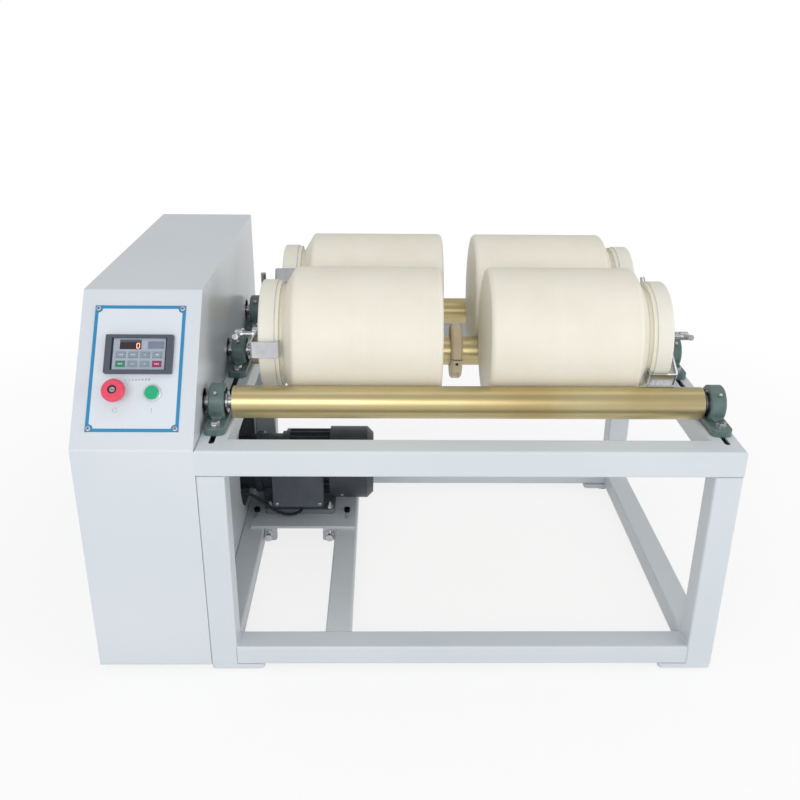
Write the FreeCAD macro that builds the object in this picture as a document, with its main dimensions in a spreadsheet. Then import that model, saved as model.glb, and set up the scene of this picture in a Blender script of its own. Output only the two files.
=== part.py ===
import FreeCAD, Part
import math
import os
import Sketcher
from types import SimpleNamespace

# A jar mill: a welded frame with three driven rollers, four lidded ceramic jars that lie on them,
# a geared motor under the deck and a sheet-metal cabinet with the chain drive and the controls.
# X runs along the rollers from the cabinet wall, Y from the front face to the back, Z up from the floor.
# The origin is on the floor, below the middle of the whole machine.

# Driving sizes: millimetres, degrees and counts
SIZES = {
    # Welded frame
    "frame_length": 960,
    "frame_depth": 770,
    "deck_height": 470,
    "tube_size": 50,
    "tube_wall": 3,
    "tube_corner": 4,
    "low_rail_height": 40,
    "motor_rail_left": 215,
    "foot_plate_length": 100,
    "foot_plate_depth": 56,
    "foot_plate_thickness": 10,
    "foot_plate_corner": 8,
    "foot_pad_radius": 22,
    "foot_pad_height": 5,
    "deck_slot_width": 10.5,
    "deck_slot_end": 30,
    # Cabinet
    "cabinet_width": 212,
    "cabinet_depth": 830,
    "cabinet_bottom": 12,
    "cabinet_top": 702,
    "kink_height": 470,
    "slope_depth": 185,
    "sheet_thickness": 2,
    "bend_radius": 5,
    "shaft_hole_radius": 25,
    "opening_middle_y": 565,
    "opening_middle_z": 192,
    "opening_width": 262,
    "opening_height": 228,
    "opening_corner": 80,
    "cover_screw_radius": 2,
    "cover_screw_head_radius": 4.5,
    "cover_screw_head_height": 2.5,
    "cover_screw_inset": 14,
    # Control panel on the slope
    "faceplate_width": 162,
    "faceplate_height": 233,
    "faceplate_thickness": 1.5,
    "faceplate_corner": 4,
    "faceplate_from_left": 24,
    "faceplate_from_kink": 32.5,
    "faceplate_screw_inset": 6.5,
    "keypad_width": 119,
    "keypad_height": 71,
    "keypad_rise": 139.9,
    "keypad_shift": 3.9,
    "keypad_proud": 8,
    "keypad_rim_side": 11,
    "keypad_rim_end": 6,
    "keypad_recess": 3.5,
    "keypad_corner": 2,
    "drive_unit_depth": 70,
    "drive_unit_gap": 4,
    "key_width": 16,
    "key_height": 11.5,
    "key_pitch": 21.3,
    "key_row_pitch": 17,
    "key_middle_drop": 9.6,
    "key_middle_shift": 0.4,
    "key_proud": 0.8,
    "key_travel": 0.8,
    "key_thickness": 2.2,
    "key_gap": 0.3,
    "key_corner": 1,
    "display_width": 37.8,
    "display_height": 13,
    "display_rise": 15.6,
    "display_shift": -15.6,
    "display_thickness": 2,
    "button_rise": 69.5,
    "stop_button_shift": -31.5,
    "start_button_shift": 31.4,
    "button_hole_radius": 11,
    "button_barrel_length": 30,
    "stop_collar_height": 10,
    "stop_collar_radius": 15,
    "collar_bevel": 2,
    "stop_head_radius": 20.5,
    "stop_head_height": 12,
    "stop_face_radius": 15,
    "stop_crown_radius": 19,
    "stop_crown_height": 3,
    "stop_recess_radius": 8,
    "stop_recess_depth": 2.5,
    "stop_travel": 5,
    "stop_stem_radius": 7,
    "stop_lock_radius": 5,
    "start_bezel_radius": 15.5,
    "start_bezel_height": 5,
    "start_floor": 1.5,
    "start_cap_radius": 12.5,
    "cap_bevel": 1.5,
    "start_cap_proud": 4,
    "start_travel": 3,
    "running_gap": 0.05,
    "seat_gap": 0.02,
    # Rollers, shafts and pillow blocks
    "roller_radius": 30,
    "roller_wall": 4,
    "roller_start": 52,
    "roller_end_gap": 48,
    "roller_edge_round": 1,
    "roller_front_y": 130,
    "roller_spacing": 274,
    "axle_height": 36.5,
    "roller_plug_length": 12,
    "shaft_radius": 12.5,
    "shaft_end_proud": 6,
    "shaft_bevel": 1,
    "block_inset": 25,
    "block_length": 140,
    "block_width": 38,
    "block_foot_thickness": 14,
    "block_foot_corner": 12,
    "block_ring_radius": 34.5,
    "block_ring_width": 28,
    "block_fillet": 8,
    "block_edge_bevel": 2.5,
    "block_bolt_spacing": 105,
    "block_bolt_radius": 5,
    "block_slot_length": 19,
    "block_slot_width": 13,
    "insert_radius": 26,
    "inner_ring_radius": 18,
    "insert_inset": 3,
    "collar_gap": 1,
    "lock_collar_radius": 20,
    "lock_collar_length": 6,
    "washer_radius": 10,
    "washer_thickness": 2,
    "bolt_head_radius": 9.2,
    "bolt_head_height": 6.5,
    "block_bolt_length": 40,
    "nipple_radius": 3.2,
    "nipple_length": 8,
    "nipple_tip_radius": 2.6,
    "nipple_lean": 45,
    "stop_ring_from_wall": 466,
    "stop_ring_width": 23,
    "stop_ring_radius": 58,
    "stop_ring_chamfer": 4,
    "stop_ring_split": 3,
    "stop_ring_screw_radius": 3,
    "stop_ring_screw_length": 26,
    "stop_ring_head_radius": 5.4,
    "stop_ring_head_height": 6,
    "stop_ring_sink_radius": 6,
    # Chain drive in the cabinet
    "chain_pitch": 12.7,
    "chain_height": 11.8,
    "chain_width": 16,
    "chain_slot_width": 8,
    "chain_tip_gap": 0.6,
    "sprocket_teeth": 17,
    "tooth_width": 7.2,
    "tooth_height": 2.7,
    "tooth_gap_radius": 4.4,
    "hub_radius": 22,
    "hub_length": 11,
    "first_chain_plane": 32,
    "chain_plane_step": 28,
    # Geared motor and its slide plate
    "motor_y": 565,
    "motor_z": 160,
    "gearbox_left": -36,
    "gearbox_right": 96,
    "gearbox_radius": 74,
    "gear_nose_length": 14,
    "gear_nose_radius": 62,
    "gear_body_radius": 67,
    "gear_body_length": 60,
    "gear_joint_width": 16,
    "gear_waist_radius": 68,
    "motor_flange_width": 10,
    "gearbox_boss_radius": 34,
    "gearbox_boss_length": 8,
    "output_radius": 14,
    "output_length": 40,
    "stator_right": 208,
    "stator_radius": 69,
    "stator_rim_width": 8,
    "fin_radius": 80,
    "fin_thickness": 3,
    "fin_root": 3,
    "fin_count": 24,
    "fan_cover_right": 302,
    "fan_cover_radius": 86,
    "fan_cover_wall": 2.5,
    "fan_cover_round": 14,
    "fan_radius": 70,
    "fan_width": 26,
    "fan_gap": 14,
    "fan_disc_thickness": 3,
    "fan_hub_radius": 20,
    "fan_shaft_radius": 9,
    "fan_shaft_proud": 4,
    "fan_bearing_depth": 20,
    "fan_blade_thickness": 3,
    "fan_blade_count": 6,
    "grille_slot_count": 12,
    "grille_slot_width": 7,
    "grille_inner_radius": 22,
    "grille_outer_radius": 70,
    "motor_foot_left": 46,
    "motor_foot_length": 165,
    "motor_foot_front": 483,
    "motor_foot_depth": 164,
    "motor_foot_thickness": 12.5,
    "foot_bolt_inset": 12,
    "foot_bolt_radius": 4,
    "foot_bolt_head_radius": 7.5,
    "foot_bolt_head_height": 6,
    "foot_bolt_washer_radius": 8.5,
    "foot_bolt_proud": 8,
    "pedestal_length": 55,
    "pedestal_depth": 96,
    "terminal_left": 71,
    "terminal_width": 116,
    "terminal_front": 448,
    "terminal_bottom": 101,
    "terminal_height": 114,
    "terminal_lid": 8,
    "terminal_corner": 8,
    "terminal_back": 483,
    "terminal_seat_depth": 30,
    "terminal_seat_height": 80,
    "terminal_seat_inset": 6,
    "plate_left": 20,
    "plate_right": 260,
    "plate_front": 428,
    "plate_back": 690,
    "plate_thickness": 6,
    "plate_bolt_y": 498,
    "plate_bolt_back_y": 652,
    "plate_bolt_radius": 4,
    "plate_bolt_head_radius": 7,
    "plate_bolt_head_height": 8,
    "plate_bolt_socket_radius": 3.4,
    "plate_slot_length": 34,
    "plate_slot_width": 9,
    "plate_bolt_length": 12,
    "lug_width": 28,
    "lug_gap": 1,
    "lug_corner": 6,
    "lug_drop": 32,
    "lug_thickness": 8,
    "adjuster_radius": 5,
    "adjuster_length": 42,
    "adjuster_inset": 12,
    "adjuster_drop": 10,
    "lead_radius": 3.5,
    "gland_radius": 8,
    "gland_length": 8,
    "gland_from_left": 64,
    "lead_exit_drop": 14,
    "lead_entry_run": 34,
    # Jars with lid, gasket and clamp
    "contact_gap": 0.3,
    "jar_radius": 130,
    "jar_wall": 16,
    "jar_base": 18,
    "jar_base_round": 9,
    "jar_shoulder_start": 275,
    "jar_shoulder_end": 296,
    "jar_neck_radius": 94,
    "jar_flange_radius": 103,
    "jar_flange_start": 301.5,
    "jar_length": 307.5,
    "jar_mouth_radius": 78,
    "gasket_thickness": 1.5,
    "gasket_radius": 100,
    "lid_radius": 105,
    "lid_thickness": 29.5,
    "lid_round": 4,
    "lid_plug_length": 9,
    "lid_plug_bevel": 2,
    "lid_plug_gap": 1,
    "strap_width": 30,
    "strap_thickness": 3.5,
    "strap_inner_reach": 109,
    "strap_standoff": 10.5,
    "hook_reach": 96,
    "strap_bend": 3,
    "strap_boss_radius": 13,
    "strap_boss_length": 9,
    "screw_radius": 5,
    "screw_foot_radius": 14,
    "screw_foot_thickness": 3,
    "handle_offset": 50,
    "handle_hub_bevel": 1.5,
    "handle_radius": 5.5,
    "handle_half_length": 45,
    "handle_hub_radius": 8.5,
    "handle_hub_length": 16,
    "front_left_bottom": 435,
    "rear_left_bottom": 451,
    "front_right_bottom": 522,
    "rear_right_bottom": 518,
    "front_left_strap_angle": 176,
    "rear_left_strap_angle": 144,
    "front_right_strap_angle": 208,
    "rear_right_strap_angle": 194,
    "front_left_handle_angle": 168,
    "rear_left_handle_angle": 90,
    "front_right_handle_angle": 165,
    "rear_right_handle_angle": 40,
}


class Size:
    """A number together with the sheet formula that it comes from."""

    def __init__(self, value, formula):
        self.value = float(value)
        self.formula = formula

    def __add__(self, other):
        return joined(self, "+", other)

    def __radd__(self, other):
        return joined(other, "+", self)

    def __sub__(self, other):
        return joined(self, "-", other)

    def __rsub__(self, other):
        return joined(other, "-", self)

    def __mul__(self, other):
        return joined(self, "*", other)

    def __rmul__(self, other):
        return joined(other, "*", self)

    def __truediv__(self, other):
        return joined(self, "/", other)

    def __rtruediv__(self, other):
        return joined(other, "/", self)

    def __neg__(self):
        return joined(0, "-", self)


def as_size(item):
    return item if isinstance(item, Size) else Size(item, f"({float(item):.6f})")


def joined(left, sign, right):
    """Work out one step of arithmetic, both as a number and as a formula."""
    left = as_size(left)
    right = as_size(right)
    results = {
        "+": left.value + right.value,
        "-": left.value - right.value,
        "*": left.value * right.value,
    }
    value = left.value / right.value if sign == "/" else results[sign]
    return Size(value, f"({left.formula} {sign} {right.formula})")


def root(size):
    return Size(math.sqrt(size.value), f"sqrt({size.formula})")


def sine(angle):
    return Size(math.sin(math.radians(angle.value)), f"sin({angle.formula})")


def cosine(angle):
    return Size(math.cos(math.radians(angle.value)), f"cos({angle.formula})")


def slope_angle(rise, run):
    """The angle in degrees whose tangent is rise over run."""
    degrees = math.degrees(math.atan2(rise.value, run.value))
    return Size(degrees, f"atan2({rise.formula}; {run.formula})")


doc = FreeCAD.newDocument("jar_mill")
sheet = doc.addObject("Spreadsheet::Sheet", "sizes")
for row, (alias, number) in enumerate(SIZES.items(), 1):
    sheet.set(f"A{row}", alias)
    sheet.set(f"B{row}", str(number))
    sheet.setAlias(f"B{row}", alias)
doc.recompute()
s = SimpleNamespace(**{alias: Size(number, f"sizes.{alias}") for alias, number in SIZES.items()})

V = FreeCAD.Vector
X_AXIS = V(1, 0, 0)
Y_AXIS = V(0, 1, 0)
Z_AXIS = V(0, 0, 1)

# The middle of the machine, measured from the cabinet wall and the front face
MIDDLE_X = (s.frame_length - s.cabinet_width - s.cover_screw_head_height) / 2
MIDDLE_Y = s.cabinet_depth / 2

NODES = {}


# Helpers that bind objects and sketches to the sheet

def bind(thing, name, size):
    """Tie a property to its formula."""
    thing.setExpression(name, as_size(size).formula)


def place(thing, x, y, z, axis=None, angle=None):
    """Put an object at a point measured from the wall, the front and the floor, turned about an axis."""
    if axis is not None:
        thing.Placement = FreeCAD.Placement(V(0, 0, 0), FreeCAD.Rotation(axis, as_size(angle).value))
        if isinstance(angle, Size):
            bind(thing, "Placement.Rotation.Angle", angle)
    bind(thing, "Placement.Base.x", x - MIDDLE_X)
    bind(thing, "Placement.Base.y", y - MIDDLE_Y)
    bind(thing, "Placement.Base.z", z)
    return thing


def new_body(name, x=0, y=0, z=0, axis=None, angle=None, many=False):
    body = doc.addObject("PartDesign::Body", name)
    body.AllowCompound = many
    place(body, x, y, z, axis, angle)
    return body


def new_sketch(body, role, offset=None):
    """A sketch on one of the body's own planes, moved along the plane's normal if asked."""
    sketch = body.newObject("Sketcher::SketchObject", body.Name + "_sketch")
    origin_plane = next(item for item in body.Origin.OriginFeatures if item.Role == role)
    sketch.AttachmentSupport = [(origin_plane, "")]
    sketch.MapMode = "FlatFace"
    if offset is not None:
        bind(sketch, "AttachmentOffset.Base.z", offset)
    return sketch


def add_ties(sketch, ties):
    """Add dimensions between the sketch's origin and points of its lines, each with its formula."""
    rows = [Sketcher.Constraint(kind, -1, 1, line, end, size.value) for kind, line, end, size in ties]
    first = sketch.ConstraintCount
    sketch.addConstraint(rows)
    for step, (kind, line, end, size) in enumerate(ties):
        bind(sketch, f"Constraints[{first + step}]", size)


def draw_loop(sketch, points):
    """A closed outline of straight lines whose corners are tied to their sizes."""
    corners = [(as_size(x), as_size(y)) for x, y in points]
    first = sketch.GeometryCount
    total = len(corners)
    lines = []
    for step, (x, y) in enumerate(corners):
        next_x, next_y = corners[(step + 1) % total]
        lines.append(Part.LineSegment(V(x.value, y.value, 0), V(next_x.value, next_y.value, 0)))
    sketch.addGeometry(lines, False)
    joints = []
    for step in range(total):
        joints.append(Sketcher.Constraint("Coincident", first + step, 2, first + (step + 1) % total, 1))
    sketch.addConstraint(joints)
    ties = []
    for step, (x, y) in enumerate(corners):
        ties.append(("DistanceX", first + step, 1, x))
        ties.append(("DistanceY", first + step, 1, y))
    add_ties(sketch, ties)


def draw_box(sketch, left, low, width, height):
    left = as_size(left)
    low = as_size(low)
    draw_loop(sketch, [(left, low), (left + width, low), (left + width, low + height), (left, low + height)])


def draw_circle(sketch, x, y, radius):
    """A circle tied to its centre and radius."""
    x = as_size(x)
    y = as_size(y)
    line = sketch.GeometryCount
    sketch.addGeometry(Part.Circle(V(x.value, y.value, 0), Z_AXIS, radius.value), False)
    add_ties(sketch, [("DistanceX", line, 3, x), ("DistanceY", line, 3, y)])
    index = sketch.ConstraintCount
    sketch.addConstraint(Sketcher.Constraint("Radius", line, radius.value))
    bind(sketch, f"Constraints[{index}]", radius)


def draw_stadium(sketch, length, radius):
    """Two half circles of one radius, joined by straight runs, from the origin along the sketch's x."""
    first = sketch.GeometryCount
    quarter = math.pi / 2
    far = V(length.value, 0, 0)
    near_circle = Part.Circle(V(0, 0, 0), Z_AXIS, radius.value)
    far_circle = Part.Circle(far, Z_AXIS, radius.value)
    lift = V(0, radius.value, 0)
    sketch.addGeometry([
        Part.ArcOfCircle(near_circle, quarter, 3 * quarter),
        Part.LineSegment(-lift, far - lift),
        Part.ArcOfCircle(far_circle, -quarter, quarter),
        Part.LineSegment(far + lift, lift),
    ], False)
    sketch.addConstraint([
        Sketcher.Constraint("Coincident", first, 3, -1, 1),
        Sketcher.Constraint("Tangent", first, 2, first + 1, 1),
        Sketcher.Constraint("Tangent", first + 1, 2, first + 2, 1),
        Sketcher.Constraint("Tangent", first + 2, 2, first + 3, 1),
        Sketcher.Constraint("Tangent", first + 3, 2, first, 1),
        Sketcher.Constraint("PointOnObject", first + 2, 3, -1),
    ])
    add_ties(sketch, [("DistanceX", first + 2, 3, length)])
    index = sketch.ConstraintCount
    sketch.addConstraint(Sketcher.Constraint("Radius", first, radius.value))
    bind(sketch, f"Constraints[{index}]", radius)


def pad(body, sketch, length, reverse=False):
    feature = body.newObject("PartDesign::Pad", body.Name + "_pad")
    feature.Profile = sketch
    feature.Reversed = reverse
    bind(feature, "Length", length)
    return feature


def pocket(body, sketch, length, reverse=False):
    feature = body.newObject("PartDesign::Pocket", body.Name + "_pocket")
    feature.Profile = sketch
    feature.Reversed = reverse
    bind(feature, "Length", length)
    return feature


def round_slots(body, height, slots, width, depth, reverse=False):
    """Cut slots along Y, each from (middle x, low y, high y): a straight run between two drilled ends."""
    runs = new_sketch(body, "XY_Plane", height)
    ends = new_sketch(body, "XY_Plane", height)
    radius = width / 2
    for x, low, high in slots:
        draw_box(runs, x - radius, low + radius, width, high - low - width)
        draw_circle(ends, x, low + radius, radius)
        draw_circle(ends, x, high - radius, radius)
    pocket(body, runs, depth, reverse)
    pocket(body, ends, depth, reverse)


def turn(body, points, height=None):
    """Turn an outline of (along, radius) points about the body's X axis, or about a line at that height."""
    sketch = new_sketch(body, "XY_Plane", height)
    draw_loop(sketch, points)
    feature = body.newObject("PartDesign::Revolution", body.Name + "_turned")
    feature.Profile = sketch
    feature.ReferenceAxis = (sketch, ["H_Axis"])
    feature.Angle = 360
    return feature


def repeat_round(body, feature, count):
    """Repeat a feature round the body's own X axis."""
    pattern = body.newObject("PartDesign::PolarPattern", body.Name + "_round")
    pattern.Originals = [feature]
    x_axis = next(item for item in body.Origin.OriginFeatures if item.Role == "X_Axis")
    pattern.Axis = (x_axis, [""])
    pattern.Angle = 360
    bind(pattern, "Occurrences", count)
    body.Tip = pattern
    return pattern


def round_edges(body, radius, wanted):
    """Round the edges of the body's newest feature that the test picks."""
    doc.recompute()
    newest = body.Tip
    names = [f"Edge{number}" for number, edge in enumerate(newest.Shape.Edges, 1) if wanted(edge)]
    feature = body.newObject("PartDesign::Fillet", body.Name + "_rounding")
    feature.Base = (newest, names)
    bind(feature, "Radius", radius)
    return feature


def runs_along(edge, axis):
    """True for a straight edge that runs along the axis."""
    if edge.Curve.TypeId != "Part::GeomLine":
        return False
    return abs(abs(edge.Curve.Direction.dot(axis)) - 1) < 1e-6


def is_ring(edge, along, radius):
    """True for a full circle about X at this place and of this radius."""
    if edge.Curve.TypeId != "Part::GeomCircle":
        return False
    same_place = abs(edge.Curve.Center.x - along.value) < 0.01
    return same_place and abs(edge.Curve.Radius - radius.value) < 0.01


def cylinder(name, x, y, z, radius, height, axis=None, angle=None):
    solid = doc.addObject("Part::Cylinder", name)
    bind(solid, "Radius", radius)
    bind(solid, "Height", height)
    place(solid, x, y, z, axis, angle)
    return solid


def box(name, x, y, z, length, width, height):
    solid = doc.addObject("Part::Box", name)
    bind(solid, "Length", length)
    bind(solid, "Width", width)
    bind(solid, "Height", height)
    place(solid, x, y, z)
    return solid


def fuse(name, *solids):
    result = doc.addObject("Part::MultiFuse", name)
    result.Shapes = list(solids)
    return result


def cut(name, base, tool):
    result = doc.addObject("Part::Cut", name)
    result.Base = base
    result.Tool = tool
    return result


def keep(label, *pieces):
    """Name a sub-part. Several like pieces become one group of separate solids."""
    if len(pieces) == 1:
        result = pieces[0]
    else:
        result = doc.addObject("Part::Compound", label + "_group")
        result.Links = list(pieces)
    result.Label = label
    NODES[label] = result
    return result


# Welded frame

def deck_rails():
    """Four square tubes on edge with mitred corners, the side ones slotted for the bearing bolts."""
    inner = s.tube_size - 2 * s.tube_wall
    base = s.deck_height - s.tube_size
    long_rails = new_body("long_deck_rails", 0, 0, base, many=True)
    outline = new_sketch(long_rails, "XY_Plane")
    draw_loop(outline, [
        (0, 0),
        (s.frame_length, 0),
        (s.frame_length - s.tube_size, s.tube_size),
        (s.tube_size, s.tube_size),
    ])
    draw_loop(outline, [
        (s.tube_size, s.frame_depth - s.tube_size),
        (s.frame_length - s.tube_size, s.frame_depth - s.tube_size),
        (s.frame_length, s.frame_depth),
        (0, s.frame_depth),
    ])
    pad(long_rails, outline, s.tube_size)
    round_edges(long_rails, s.tube_corner, lambda edge: runs_along(edge, X_AXIS))
    hollow = new_sketch(long_rails, "YZ_Plane")
    draw_box(hollow, s.tube_wall, s.tube_wall, inner, inner)
    draw_box(hollow, s.frame_depth - s.tube_size + s.tube_wall, s.tube_wall, inner, inner)
    pocket(long_rails, hollow, s.frame_length, reverse=True)

    side_rails = new_body("side_deck_rails", 0, 0, base, many=True)
    outline = new_sketch(side_rails, "XY_Plane")
    draw_loop(outline, [
        (0, 0),
        (s.tube_size, s.tube_size),
        (s.tube_size, s.frame_depth - s.tube_size),
        (0, s.frame_depth),
    ])
    draw_loop(outline, [
        (s.frame_length, 0),
        (s.frame_length, s.frame_depth),
        (s.frame_length - s.tube_size, s.frame_depth - s.tube_size),
        (s.frame_length - s.tube_size, s.tube_size),
    ])
    pad(side_rails, outline, s.tube_size)
    round_edges(side_rails, s.tube_corner, lambda edge: runs_along(edge, Y_AXIS))
    hollow = new_sketch(side_rails, "XZ_Plane")
    draw_box(hollow, s.tube_wall, s.tube_wall, inner, inner)
    draw_box(hollow, s.frame_length - s.tube_size + s.tube_wall, s.tube_wall, inner, inner)
    pocket(side_rails, hollow, s.frame_depth)
    slots = []
    for middle in (s.block_inset, s.frame_length - s.block_inset):
        slots.append((middle, s.deck_slot_end, s.frame_depth - s.deck_slot_end))
    round_slots(side_rails, s.tube_size, slots, s.deck_slot_width, 2 * s.tube_wall)
    keep("deck_rails", long_rails, side_rails)


def leg_frame():
    """Posts, low rails, the rail that carries the motor and the four foot plates."""
    rail_low = s.foot_pad_height + s.foot_plate_thickness
    post_height = s.deck_height - s.tube_size - rail_low
    inner = s.tube_size - 2 * s.tube_wall
    posts = new_body("posts", 0, 0, rail_low, many=True)
    outline = new_sketch(posts, "XY_Plane")
    corners = [(x, y) for x in (0, s.frame_length - s.tube_size) for y in (0, s.frame_depth - s.tube_size)]
    for x, y in corners:
        draw_box(outline, x, y, s.tube_size, s.tube_size)
    pad(posts, outline, post_height)
    round_edges(posts, s.tube_corner, lambda edge: runs_along(edge, Z_AXIS))
    hollow = new_sketch(posts, "XY_Plane")
    for x, y in corners:
        draw_box(hollow, x + s.tube_wall, y + s.tube_wall, inner, inner)
    pocket(posts, hollow, post_height, reverse=True)

    inner_height = s.low_rail_height - 2 * s.tube_wall
    long_rails = new_body("long_low_rails", s.tube_size, 0, rail_low, many=True)
    outline = new_sketch(long_rails, "YZ_Plane")
    for y in (0, s.frame_depth - s.tube_size):
        draw_box(outline, y, 0, s.tube_size, s.low_rail_height)
    clear_length = s.frame_length - 2 * s.tube_size
    pad(long_rails, outline, clear_length)
    round_edges(long_rails, s.tube_corner, lambda edge: runs_along(edge, X_AXIS))
    hollow = new_sketch(long_rails, "YZ_Plane")
    for y in (0, s.frame_depth - s.tube_size):
        draw_box(hollow, y + s.tube_wall, s.tube_wall, inner, inner_height)
    pocket(long_rails, hollow, clear_length, reverse=True)

    cross_rails = new_body("cross_low_rails", 0, s.tube_size, rail_low, many=True)
    outline = new_sketch(cross_rails, "XZ_Plane")
    lefts = (as_size(0), s.motor_rail_left, s.frame_length - s.tube_size)
    for x in lefts:
        draw_box(outline, x, 0, s.tube_size, s.low_rail_height)
    clear_depth = s.frame_depth - 2 * s.tube_size
    pad(cross_rails, outline, clear_depth, reverse=True)
    round_edges(cross_rails, s.tube_corner, lambda edge: runs_along(edge, Y_AXIS))
    hollow = new_sketch(cross_rails, "XZ_Plane")
    for x in lefts:
        draw_box(hollow, x + s.tube_wall, s.tube_wall, inner, inner_height)
    pocket(cross_rails, hollow, clear_depth)
    holes = new_sketch(cross_rails, "XY_Plane", s.low_rail_height)
    for x in (plate_bolt_x(0), plate_bolt_x(1)):
        for y in (s.plate_bolt_y, s.plate_bolt_back_y):
            draw_circle(holes, x, y - s.tube_size, s.plate_bolt_radius + s.running_gap)
    pocket(cross_rails, holes, 2 * s.tube_wall)

    plates = new_body("foot_plates", 0, 0, s.foot_pad_height, many=True)
    outline = new_sketch(plates, "XY_Plane")
    for x in (0, s.frame_length - s.foot_plate_length):
        for y in (0, s.frame_depth - s.foot_plate_depth):
            draw_box(outline, x, y, s.foot_plate_length, s.foot_plate_depth)
    pad(plates, outline, s.foot_plate_thickness)
    round_edges(plates, s.foot_plate_corner, lambda edge: runs_along(edge, Z_AXIS))
    keep("leg_frame", posts, long_rails, cross_rails, plates)


def plate_bolt_x(side):
    """The motor plate's bolts stand over the middle of its two rails."""
    return s.tube_size / 2 if side == 0 else s.motor_rail_left + s.tube_size / 2


def foot_pads():
    """Round rubber pads under the foot plates."""
    pads = new_body("foot_pads", many=True)
    outline = new_sketch(pads, "XY_Plane")
    for x in (s.foot_plate_length / 2, s.frame_length - s.foot_plate_length / 2):
        for y in (s.foot_plate_depth / 2, s.frame_depth - s.foot_plate_depth / 2):
            draw_circle(outline, x, y, s.foot_pad_radius)
    pad(pads, outline, s.foot_pad_height)
    keep("foot_pads", pads)


# Cabinet

def cabinet_outline(inset=0):
    """The cabinet's side view, from its bottom front corner round to the back."""
    run = s.slope_depth
    rise = s.cabinet_top - s.kink_height
    length = root(run * run + rise * rise)
    kink_shift = inset * (length - rise) / run
    top_shift = inset * (length - run) / rise
    return [
        (as_size(0) + inset, s.cabinet_bottom + inset),
        (as_size(0) + inset, s.kink_height - kink_shift),
        (run + top_shift, s.cabinet_top - inset),
        (s.cabinet_depth - inset, s.cabinet_top - inset),
        (s.cabinet_depth - inset, s.cabinet_bottom + inset),
    ]


PANEL_TILT = slope_angle(s.cabinet_top - s.kink_height, s.slope_depth)
SLOPE_BACK = cosine(PANEL_TILT)
SLOPE_UP = sine(PANEL_TILT)


def on_slope(along, up, out=0):
    """A point of the sloping front: along X from the wall, up from the slope's foot, out along its normal."""
    up = as_size(up)
    out = as_size(out)
    return (along, up * SLOPE_BACK - out * SLOPE_UP, s.kink_height + up * SLOPE_UP + out * SLOPE_BACK)


def slope_body(name, along, up, out=0, many=False):
    """A body whose XY plane lies on the sloping front and whose Z axis points out of it."""
    x, y, z = on_slope(along, up, out)
    return new_body(name, x, y, z, X_AXIS, PANEL_TILT, many)


PANEL_X = s.faceplate_from_left + s.faceplate_width / 2 - s.cabinet_width
KEYPAD_X = PANEL_X + s.keypad_shift
KEYPAD_UP = s.faceplate_from_kink + s.keypad_rise
BUTTON_UP = s.faceplate_from_kink + s.button_rise
STOP_X = PANEL_X + s.stop_button_shift
START_X = PANEL_X + s.start_button_shift


def panel_holes(name, margin):
    """Solids for the openings behind the keypad and the two buttons."""
    window = slope_body(name, PANEL_X, s.faceplate_from_kink, 0, many=True)
    outline = new_sketch(window, "XY_Plane", -s.drive_unit_depth)
    width = s.keypad_width - 2 * s.drive_unit_gap
    height = s.keypad_height - 2 * s.drive_unit_gap
    draw_box(
        outline,
        s.keypad_shift - width / 2 - margin,
        s.keypad_rise - height / 2 - margin,
        width + 2 * margin,
        height + 2 * margin,
    )
    for shift in (s.stop_button_shift, s.start_button_shift):
        draw_circle(outline, shift, s.button_rise, s.button_hole_radius + margin)
    pad(window, outline, 2 * s.drive_unit_depth)
    return window


def cabinet():
    """One bent sheet round front, slope, top, back and bottom, between two flat sides."""
    wall = s.sheet_thickness
    wrap = new_body("cabinet_sheet", wall - s.cabinet_width, 0, 0)
    outline = new_sketch(wrap, "YZ_Plane")
    draw_loop(outline, cabinet_outline())
    inner_width = s.cabinet_width - 2 * wall
    pad(wrap, outline, inner_width)
    round_edges(wrap, s.bend_radius, lambda edge: runs_along(edge, X_AXIS))
    hollow = new_sketch(wrap, "YZ_Plane")
    draw_loop(hollow, cabinet_outline(wall))
    pocket(wrap, hollow, inner_width, reverse=True)
    round_edges(wrap, s.bend_radius - wall, is_inner_corner)
    keep("cabinet_wrap", cut("cabinet_wrap", wrap, panel_holes("wrap_openings", s.seat_gap)))

    inner_wall = new_body("cabinet_wall", -wall, 0, 0)
    outline = new_sketch(inner_wall, "YZ_Plane")
    draw_loop(outline, cabinet_outline())
    pad(inner_wall, outline, wall)
    round_edges(inner_wall, s.bend_radius, lambda edge: runs_along(edge, X_AXIS))
    holes = new_sketch(inner_wall, "YZ_Plane")
    for step in range(3):
        draw_circle(holes, roller_y(step), axle_z(), s.shaft_hole_radius)
    pocket(inner_wall, holes, wall, reverse=True)
    opening = new_sketch(inner_wall, "YZ_Plane")
    draw_box(
        opening,
        s.opening_middle_y - s.opening_width / 2,
        s.opening_middle_z - s.opening_height / 2,
        s.opening_width,
        s.opening_height,
    )
    pocket(inner_wall, opening, wall, reverse=True)
    round_edges(inner_wall, s.opening_corner, is_opening_corner)
    keep("cabinet_wall", inner_wall)

    cover = new_body("cabinet_cover", -s.cabinet_width, 0, 0)
    outline = new_sketch(cover, "YZ_Plane")
    draw_loop(outline, cabinet_outline())
    pad(cover, outline, wall)
    round_edges(cover, s.bend_radius, lambda edge: runs_along(edge, X_AXIS))
    holes = new_sketch(cover, "YZ_Plane")
    for y, z in cover_screw_spots():
        draw_circle(holes, y, z, s.cover_screw_radius + s.running_gap)
    pocket(cover, holes, wall, reverse=True)
    keep("cabinet_cover", cover)


def is_inner_corner(edge):
    """True for the sharp edges along X inside the bent sheet."""
    if not runs_along(edge, X_AXIS):
        return False
    spot = edge.CenterOfMass
    for y, z in cabinet_outline(s.sheet_thickness):
        if abs(spot.y - y.value) < 0.01 and abs(spot.z - z.value) < 0.01:
            return True
    return False


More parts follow.
